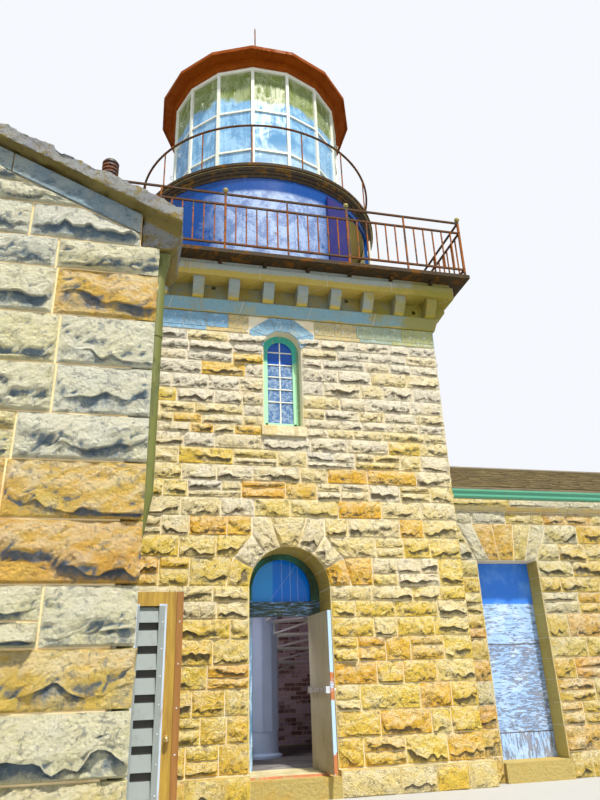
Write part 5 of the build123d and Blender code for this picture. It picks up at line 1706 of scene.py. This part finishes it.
def louvre_screws(finish):
    """Screw heads on the open leaf: on the wide metal strip and, farther apart, on the cover strip."""
    screws = Heap()
    rows = ((LOUVRE_STRIPS[1][0], LOUVRE_FACE, 0.30, 0.28, 7), (LOUVRE_COVER, COVER_FACE, 0.22, 0.44, 5))
    for x, face, low, pitch, count in rows:
        for z in (low + pitch * number for number in range(count)):
            ring = [Vector((x + 0.009 * cos(a), face + 0.002, z + 0.009 * sin(a)))
                    for a in (2 * pi * k / 8 for k in range(8))]
            top = [point + Vector((0, -0.006, 0)) for point in ring]
            screws.add(ring + top, [tuple(range(8)), tuple(reversed(range(8, 16)))]
                       + [(k, k + 8, (k + 1) % 8 + 8, (k + 1) % 8) for k in range(8)])
    return screws.piece("louvre_screws", finish, "lock_metal", "louvre_door")


# Finishes of single CAD nodes

def louvre_finish():
    """The louvred leaf as it stands open: golden timber, a red-brown cover strip, pale metal strips and
    slats, and near black behind the slats' faces, painted shade in the gaps between them."""
    paint = Paint("louvre_leaf", Roughness=0.55)
    x, y, z = paint.axis("X"), paint.axis("Y"), paint.axis("Z")
    grain = paint.drawn_noise((22, 22, 1.6), 6, 0.65, 0.8)
    base = paint.mix(paint.step(grain, 0.35, 0.68), (0.46, 0.29, 0.04), (0.30, 0.17, 0.025))
    cover = paint.near(x, LOUVRE_COVER, 0.037) * (y < LOUVRE_FACE + 0.004)
    base = paint.mix(cover, base, paint.mix(grain, (0.17, 0.06, 0.01), (0.42, 0.20, 0.045)))
    strips = paint.near(x, *LOUVRE_STRIPS[0]) + paint.near(x, *LOUVRE_STRIPS[1])
    strips = strips * (y < LOUVRE_FACE + 0.0045)
    dirt = paint.step(paint.noise(7, 6, 0.7), 0.5, 0.75)
    rust = paint.step(paint.drawn_noise((20, 20, 2.5), 5, 0.65), 0.56, 0.66)
    sheet = paint.mix(dirt * 0.4, (0.52, 0.62, 0.78), (0.34, 0.34, 0.30))
    sheet = paint.mix(rust * 0.75, sheet, (0.34, 0.15, 0.06))
    base = paint.mix(paint.step(strips * paint.near(z, LOUVRE_MIDDLE, 1.0), 0.4, 0.6), base, sheet)
    slats = paint.near(x, *LOUVRE_SLOTS) * paint.near(z, LOUVRE_MIDDLE, 0.975)
    blade = paint.mix(dirt * 0.5, (0.27, 0.31, 0.31), (0.17, 0.17, 0.14))
    base = paint.mix(slats * (y < LOUVRE_FACE + 0.047), base, blade)
    # painted shade: what lies deeper than the slats' faces is near black
    base = paint.mix(slats * (y > LOUVRE_FACE + 0.047), base, (0.05, 0.05, 0.05))
    paint.feed(Base_Color=base)
    paint.bump(grain, 0.002)
    return paint.material


BOARD_SEAMS = (0.57, 1.73)
BOARD_SHADE_EDGE = 2.30


def boarded_finish():
    """Painted sheets in the boarded doorway: deep blue at the top, a painted shadow of the lintel, and pale
    and flaking lower down, with two seams.
    """
    paint = Paint("blue_boards", Roughness=0.6)
    z = paint.axis("Z")
    flat = paint.drawn_noise((10, 10, 64), 7, 0.80, 0.2)
    tall = paint.drawn_noise((34, 34, 6), 7, 0.78, 0.2)
    patch = paint.noise(1.3, 4, 0.55)
    low = paint.step(z, BOARD_SEAMS[0] + 0.03, BOARD_SEAMS[0] - 0.03)
    flakes = flat * (1 - low) + tall * low
    dense = paint.step(z, 1.80, 1.70) * 0.04
    # painted shadow of the lintel: above this height the sheets are deep blue and show no flakes
    under = paint.step(z, BOARD_SHADE_EDGE + 0.01, BOARD_SHADE_EDGE - 0.01)
    bare = paint.step(flakes + (patch - 0.5) * 0.20 + dense, 0.550, 0.585) * under
    cloud = paint.step(paint.noise(4.0, 6, 0.7), 0.46, 0.66)
    sheet = paint.mix(cloud, (0.36, 0.55, 0.90), (0.52, 0.66, 0.90))
    sheet = paint.mix(under, paint.mix(cloud * 0.6, (0.03, 0.20, 0.78), (0.13, 0.34, 0.84)), sheet)
    base = paint.mix(bare * 0.8, sheet, paint.mix(patch, (0.11, 0.15, 0.32), (0.32, 0.25, 0.17)))
    seam = paint.near(z, BOARD_SEAMS[0], 0.007) + paint.near(z, BOARD_SEAMS[1], 0.007)
    paint.feed(Base_Color=paint.mix(seam, base, (0.14, 0.12, 0.12)))
    paint.bump(1 - bare - seam * 2.0, 0.006)
    return paint.material


TRANSOM_TOP = 2.40
JAMB_TOP = 2.17
THRESHOLD_TOP = 0.272
THRESHOLD_EDGE = -2.478


def doorway_finish():
    """The tower's door frame: dark green round the arch, peeling blue and white on the transom and the
    jambs, and a cream threshold with a worn pink edge."""
    paint = Paint("door_green", Roughness=0.6)
    y, z = paint.axis("Y"), paint.axis("Z")
    patch = paint.noise(3.0, 5, 0.65)
    green = paint.mix(paint.step(patch, 0.40, 0.62), (0.05, 0.24, 0.19), (0.035, 0.11, 0.06))
    right = paint.step(paint.axis("X") + (patch - 0.5) * 0.6, 0.05, 0.45)
    green = paint.mix(right * 0.7, green, (0.04, 0.06, 0.02))
    streaks = paint.step(paint.drawn_noise((5, 5, 46), 6, 0.75, 0.3), 0.50, 0.58)
    peeled = paint.mix(streaks, (0.05, 0.08, 0.06), (0.24, 0.46, 0.86))
    peeled = paint.mix(paint.step(patch, 0.54, 0.60) * streaks, peeled, (0.72, 0.82, 0.90))
    base = paint.mix(paint.step(z, TRANSOM_TOP, TRANSOM_TOP - 0.015), green, peeled)
    jamb = paint.step(paint.drawn_noise((24, 24, 3), 6, 0.72, 0.3), 0.44, 0.56)
    jamb = paint.mix(jamb, (0.10, 0.24, 0.40), (0.46, 0.66, 0.90))
    base = paint.mix(paint.step(z, JAMB_TOP, JAMB_TOP - 0.01), base, jamb)
    worn = paint.mix(paint.step(patch, 0.42, 0.62), (0.62, 0.54, 0.32), (0.46, 0.40, 0.22))
    edge = paint.step(y, THRESHOLD_EDGE, THRESHOLD_EDGE - 0.014)
    edge = edge * paint.step(paint.noise(9, 4, 0.6), 0.36, 0.48)
    worn = paint.mix(edge, worn, (0.66, 0.26, 0.13))
    threshold = paint.step(z, THRESHOLD_TOP, THRESHOLD_TOP - 0.004)
    paint.feed(Base_Color=paint.mix(threshold, base, worn))
    paint.bump(streaks * 0.6 + patch * 0.4, 0.004)
    return paint.material


LEAF_EDGE = -2.792


def tower_leaf_finish():
    """The tower's open leaf: grey-brown paint on its face, and a pale blue edge with rust at the lock
    and at the foot."""
    paint = Paint("door_grey", Roughness=0.5)
    y, z = paint.axis("Y"), paint.axis("Z")
    runs = paint.step(paint.drawn_noise((16, 16, 1.4), 6, 0.7), 0.46, 0.70)
    grime = paint.step(paint.noise(3.0, 6, 0.7) - (z - 0.9) * 0.22, 0.48, 0.74)
    face = paint.mix(runs * 0.5, (0.60, 0.55, 0.44), (0.40, 0.35, 0.24))
    face = paint.mix(grime * 0.7, face, (0.34, 0.28, 0.13))
    face = paint.mix(paint.step(z, 1.5, 0.4) * 0.5, face, (0.27, 0.22, 0.10))
    rusty = paint.step(paint.noise(14, 6, 0.75), 0.66, 0.72)
    face = paint.mix(rusty, face, (0.30, 0.13, 0.05))
    worn = paint.noise(9, 6, 0.75)
    lock = paint.step(z, 1.05, 1.12) * paint.step(z, 1.46, 1.40)
    foot = paint.step(z, 0.72, 0.40)
    rust = paint.step(worn + (lock + foot) * 0.22, 0.62, 0.68)
    edge = paint.mix(rust, (0.44, 0.62, 0.86), (0.50, 0.17, 0.05))
    paint.feed(Base_Color=paint.mix(y < LEAF_EDGE, face, edge))
    paint.bump(worn * 0.6 + runs * 0.3, 0.003)
    return paint.material


def coat(finish, names):
    """Give CAD nodes their finish."""
    for name in names:
        for place in nodes[name].material_slots:
            place.material = finish


NODE_FINISHES = {
    "mortar": ("tower_front_piers", "tower_front_over_door", "tower_side_walls", "tower_back_wall",
               "right_wing_front_wall", "right_wing_lintel", "right_wing_back_wall", "right_wing_end_wall"),
    "wing_mortar": ("left_wing_gable_walls", "left_wing_side_walls", "left_wing_lintel"),
    "ochre_bed": ("plinth", "eaves_courses"),
    "floor": ("floors",),
    "dressed_plain": ("window_sills",),
    "step": ("door_step", "louvre_door_step", "boarded_doorway_sill"),
    "dressed_long": ("string_course",),
    "frieze": ("frieze",),
    "modillion": ("modillions",),
    "cornice": ("cornice",),
    "sash_green": ("window_frames",),
    "pane": ("window_glass",),
    "fanlight_pane": ("fanlight_glass",),
    "frame_green": ("door_frame",),
    "door_grey": ("tower_door",),
    "lock": ("tower_door_latch",),
    "white_board": ("stair_column",),
    "white_iron": ("stair_treads",),
    "deck": ("gallery_deck", "deck_brackets", "lantern_gallery_deck"),
    "brown_moulding": ("watch_room_cornice",),
    "rail": ("gallery_railing_front", "gallery_railing_right", "gallery_railing_back",
             "gallery_railing_left", "lantern_railing", "lightning_rod"),
    "navy": ("watch_room_wall",),
    "leaves": ("watch_room_doors",),
    "cream": ("lantern_curb", "lantern_frame"),
    "lantern_glass": ("lantern_glass",),
    "eave": ("lantern_eave", "lantern_roof", "roof_vent"),
    "roof_boards": ("right_wing_roof", "left_wing_roof"),
    "gutter": ("gutters",),
    "downspout": ("downspout",),
    "vent": ("vent_pipe",),
    "timber": ("louvre_door_frame",),
    "louvre": ("louvre_door",),
    "brass": ("louvre_door_knob",),
    "boards": ("boarded_doorway",),
}

# Heights between which painted iron has another colour: low, high, share, colour
RAIL_DARK = (0.05, 0.035, 0.02)
RAIL_BANDS = ((7.628, 7.662, 0.6, RAIL_DARK), (8.378, 8.412, 0.7, RAIL_DARK), (8.588, 8.622, 0.8, RAIL_DARK),
              (8.640, 8.730, 0.7, (0.46, 0.44, 0.16)), (10.83, 10.89, 0.6, RAIL_DARK))
ROOM_CEILING = ((9.80, 9.8455, 1.0, (0.60, 0.52, 0.22)),)
TIMBER_LIGHT = (0.52, 0.33, 0.05)
TIMBER_DARK = (0.30, 0.17, 0.03)

finishes = {
    "mortar": mortar_finish("mortar", (0.86, 0.76, 0.56), (0.84, 0.58, 0.26)),
    "wing_mortar": mortar_finish("wing_mortar", (0.86, 0.66, 0.36), (0.84, 0.42, 0.10)),
    "ochre_bed": dressed_finish("ochre_bed", (0.62, 0.52, 0.26), (0.74, 0.50, 0.15)),
    "floor": floor_finish(),
    "dressed_plain": dressed_finish("dressed_plain", (0.82, 0.72, 0.46), (0.80, 0.60, 0.24)),
    "dressed_long": dressed_finish("dressed_long", (0.24, 0.42, 0.50), (0.40, 0.42, 0.26), 0.55, 0.3, 6.68),
    "cornice": dressed_finish("cornice_stone", (0.44, 0.49, 0.44), (0.52, 0.44, 0.20), 0.55, 0.4, 7.262),
    "modillion": dressed_finish("modillion_stone", (0.34, 0.40, 0.38), (0.44, 0.38, 0.15),
                                soffit=6.90),
    "frieze": dressed_finish("frieze_stone", (0.26, 0.28, 0.19), (0.36, 0.28, 0.06), 0.55, 0.5, 6.86),
    "step": dressed_finish("step_stone", (0.50, 0.38, 0.12), (0.54, 0.36, 0.08)),
    "reveal": dressed_finish("reveal_stone", (0.58, 0.46, 0.12), (0.52, 0.38, 0.08)),
    "sash_green": sash_finish(),
    "pane": pane_finish(),
    "fanlight_pane": fanlight_finish(),
    "frame_green": doorway_finish(),
    "door_grey": tower_leaf_finish(),
    "lock": metal_finish("lock_metal", (0.72, 0.74, 0.78), (0.32, 0.22, 0.14), 0.35, 0.4),
    "white_board": flaking_finish("white_board", (0.58, 0.72, 0.95), (0.40, 0.46, 0.58), 0.66, 0.74,
                                  (16, 16, 2)),
    "white_iron": flaking_finish("white_iron", (0.80, 0.80, 0.78), (0.40, 0.26, 0.16), 0.68, 0.76, (9, 9, 9)),
    "deck": iron_finish("deck_iron", (0.055, 0.038, 0.020), (0.11, 0.048, 0.010), 0.3, 0.6, 0.1,
                        ROOM_CEILING),
    "brown_moulding": iron_finish("brown_moulding", (0.055, 0.036, 0.018), (0.13, 0.065, 0.012), 0.3, 0.4,
                                  0.3),
    "rail": iron_finish("rusty_rail", (0.07, 0.04, 0.025), (0.20, 0.065, 0.015), 0.6, 0.6, 0.2, RAIL_BANDS),
    "navy": navy_finish(),
    "leaves": leaf_finish(),
    "cream": cream_finish(),
    "lantern_glass": glass_film_and_painted_view(),
    "eave": iron_finish("roof_iron", (0.29, 0.062, 0.002), (0.17, 0.034, 0.002), 0.4, 0.55, 0.1),
    "roof_boards": timber_finish("roof_boards", (0.22, 0.17, 0.09), (0.10, 0.08, 0.05), (3, 3, 20)),
    "gutter": flaking_finish("gutter_green", (0.10, 0.38, 0.24), (0.22, 0.28, 0.16), 0.60, 0.72, (5, 5, 14)),
    "downspout": flaking_finish("downspout_olive", (0.17, 0.18, 0.035), (0.11, 0.13, 0.035), 0.55, 0.68,
                                (14, 14, 3)),
    "vent": iron_finish("vent_metal", (0.07, 0.045, 0.04), (0.14, 0.05, 0.025), 0.4, 0.5),
    "timber": timber_finish("varnished_timber", TIMBER_LIGHT, TIMBER_DARK, (22, 22, 1.6)),
    "louvre": louvre_finish(),
    "brass": metal_finish("brass", (0.72, 0.52, 0.22), (0.30, 0.18, 0.08), 0.25, 0.9),
    "boards": boarded_finish(),
    "coping": lichen_finish(),
    "ceiling": dressed_finish("lantern_ceiling", (0.62, 0.56, 0.20), (0.50, 0.40, 0.12)),
    "lining": flaking_finish("watch_lining", (0.80, 0.74, 0.52), (0.50, 0.44, 0.30), 0.66, 0.74, (16, 16, 2)),
}
for label, names in NODE_FINISHES.items():
    coat(finishes[label], names)

TOWER_STONE = ((0.0, (0.78, 0.73, 0.60)), (0.28, (0.97, 0.86, 0.64)), (0.48, (0.97, 0.79, 0.38)),
               (0.72, (0.98, 0.71, 0.10)), (1.0, (0.97, 0.53, 0.04)))
RIGHT_STONE = ((0.0, (0.50, 0.50, 0.44)), (0.30, (0.72, 0.66, 0.46)), (0.50, (0.77, 0.62, 0.20)),
               (0.72, (0.80, 0.55, 0.09)), (1.0, (0.80, 0.42, 0.06)))
# the first stop, blue-grey, colours the band under the coping as painted shade
LEFT_STONE = ((0.0, (0.38, 0.52, 0.60)), (0.05, (0.66, 0.71, 0.66)), (0.35, (0.93, 0.91, 0.70)),
              (0.60, (0.97, 0.88, 0.46)), (0.78, (0.96, 0.68, 0.14)), (1.0, (0.92, 0.50, 0.08)))
tower_rock = rock_finish("tower_rock", TOWER_STONE, (0.25, 0.21, 0.14))
right_rock = rock_finish("right_wing_rock", RIGHT_STONE, (0.17, 0.16, 0.12))
left_rock = rock_finish("left_wing_rock", LEFT_STONE, (0.10, 0.20, 0.32))

reveal = finishes["reveal"]
stonework = (
    ("stones_tower_front", tower_front, tower_rock, "sandstone"),
    ("stones_tower_right", lambda: tower_side(RIGHT, WING_EAVE + 0.1), tower_rock, "sandstone"),
    ("stones_tower_left", lambda: tower_side(LEFT, WING_EAVE + 0.3), tower_rock, "sandstone"),
    ("stones_tower_back", tower_back, tower_rock, "sandstone"),
    ("dressed_blocks", dressed_band, block_finish(), "dressed_stone"),
    ("stones_plinth", plinth_stones, tower_rock, "sandstone"),
    ("stones_door_reveal", door_reveal, reveal, "sandstone"),
    ("stones_boarded_reveal", boarded_reveal, reveal, "sandstone"),
    ("arch_reveal", arch_reveal, reveal, "sandstone"),
    ("stones_left_gable", left_gable, left_rock, "sandstone"),
    ("stones_left_back", left_back, left_rock, "sandstone"),
    ("stones_left_sides", left_sides, left_rock, "sandstone"),
    ("stones_right_wing", right_wing, right_rock, "sandstone"),
    ("stones_right_wing_far", right_wing_far, right_rock, "sandstone"),
    ("stones_eaves", eaves_stones, right_rock, "sandstone"),
)
for name, lay, finish, slot in stonework:
    lay().piece(name, finish, slot)

shingle_paint = shingle_finish()
shingles("shingles_right", "x", TOWER_HALF + 0.02, RIGHT_END - SHINGLE_STOP, 0.0, WING_HALF,
         lambda x, y: False, shingle_paint)
shingles("shingles_left", "y", LEFT_FRONT + SHINGLE_STOP, WING_HALF - SHINGLE_STOP, LEFT_MIDDLE, LEFT_HALF,
         lambda x, y: x > -TOWER_HALF - 0.08 and y > -TOWER_HALF - 0.02, shingle_paint)
ridge_boards(finishes["roof_boards"])
brick_lining(brick_finish())
column_boards(finishes["white_board"])
window_bars(finishes["sash_green"], finishes["cream"])
fanlight_mouldings(finishes["frame_green"])
door_closer(finishes["lock"])
lantern_handholds(finishes["cream"])
lantern_lining(finishes["ceiling"], finishes["brown_moulding"])
watch_seams(finishes["navy"])
watch_lining(finishes["lining"])
weathered_copings(finishes["coping"])
louvre_screws(finishes["lock"])


# Camera, light and floor

def stand_camera():
    """The photo's camera: its place, direction and focal length."""
    turn, rise, roll = radians(13.663), radians(23.076), radians(-1.948)
    ahead = Vector((sin(turn) * cos(rise), cos(turn) * cos(rise), sin(rise)))
    level = Vector((cos(turn), -sin(turn), 0))
    above = level.cross(ahead)
    right = level * cos(roll) + above * sin(roll)
    up = above * cos(roll) - level * sin(roll)
    camera = bpy.data.cameras.new("camera")
    camera.lens = 29.77
    camera.sensor_width = 36
    camera.clip_end = 500
    stand = link(bpy.data.objects.new("camera", camera))
    turned = Matrix((right, up, -ahead)).transposed().to_4x4()
    stand.matrix_world = Matrix.Translation((-1.970, -11.581, 1.315)) @ turned
    bpy.context.scene.camera = stand


def hang_sun(name, energy, spread, toward, tint=(1.0, 1.0, 1.0)):
    """A sun that shines from a direction, with soft shadows of a spread in degrees."""
    sun = bpy.data.lights.new(name, "SUN")
    sun.energy = energy
    sun.angle = radians(spread)
    sun.color = tint
    stand = link(bpy.data.objects.new(name, sun))
    stand.rotation_euler = Vector(toward).to_track_quat("Z", "Y").to_euler()


def spread_sky():
    """A blue light from all sides. The camera sees a plain white backdrop in its place."""
    world = bpy.data.worlds.new("sky")
    world.use_nodes = True
    bpy.context.scene.world = world
    tree = world.node_tree
    sky = tree.nodes["Background"]
    sky.inputs["Color"].default_value = (0.68, 0.83, 1.0, 1)
    sky.inputs["Strength"].default_value = 0.50
    white = tree.nodes.new("ShaderNodeBackground")
    white.inputs["Color"].default_value = (0.92, 0.95, 1.0, 1)
    white.inputs["Strength"].default_value = 1.0
    path = tree.nodes.new("ShaderNodeLightPath")
    blend = tree.nodes.new("ShaderNodeMixShader")
    tree.links.new(path.outputs["Is Camera Ray"], blend.inputs[0])
    tree.links.new(sky.outputs[0], blend.inputs[1])
    tree.links.new(white.outputs[0], blend.inputs[2])
    tree.links.new(blend.outputs[0], tree.nodes["World Output"].inputs["Surface"])


def hang_lamp(name, place, watts, size, tint):
    """A soft lamp inside the building, for the rooms that show through the doorways."""
    lamp = bpy.data.lights.new(name, "POINT")
    lamp.energy = watts
    lamp.shadow_soft_size = size
    lamp.color = tint
    stand = link(bpy.data.objects.new(name, lamp))
    stand.location = place


def lay_floor():
    """A pale level floor, which isn't part of the building."""
    reach = 60.0
    mesh = bpy.data.meshes.new("floor")
    mesh.from_pydata([(-reach, -reach, 0), (reach, -reach, 0), (reach, reach, 0), (-reach, reach, 0)], [],
                     [(0, 1, 2, 3)])
    pale = bpy.data.materials.new("floor_paint")
    pale.use_nodes = True
    shader = pale.node_tree.nodes["Principled BSDF"]
    shader.inputs["Base Color"].default_value = (0.41, 0.41, 0.405, 1)
    shader.inputs["Roughness"].default_value = 0.9
    mesh.materials.append(pale)
    floor = link(bpy.data.objects.new("floor", mesh))


stand_camera()
hang_sun("sun", 5.8, 4, (0.12, -0.475, 0.87), (1.0, 0.96, 0.88))
hang_sun("fill", 0.7, 70, (-0.25, -0.90, 0.28))
spread_sky()
hang_lamp("room_lamp", (-1.2, -1.1, 3.4), 95.0, 0.4, (0.88, 0.94, 1.0))
hang_lamp("watch_lamp", (0.6, -0.6, 9.2), 30.0, 0.3, (1.0, 0.95, 0.85))
lay_floor()
bpy.context.scene.view_settings.view_transform = "Standard"
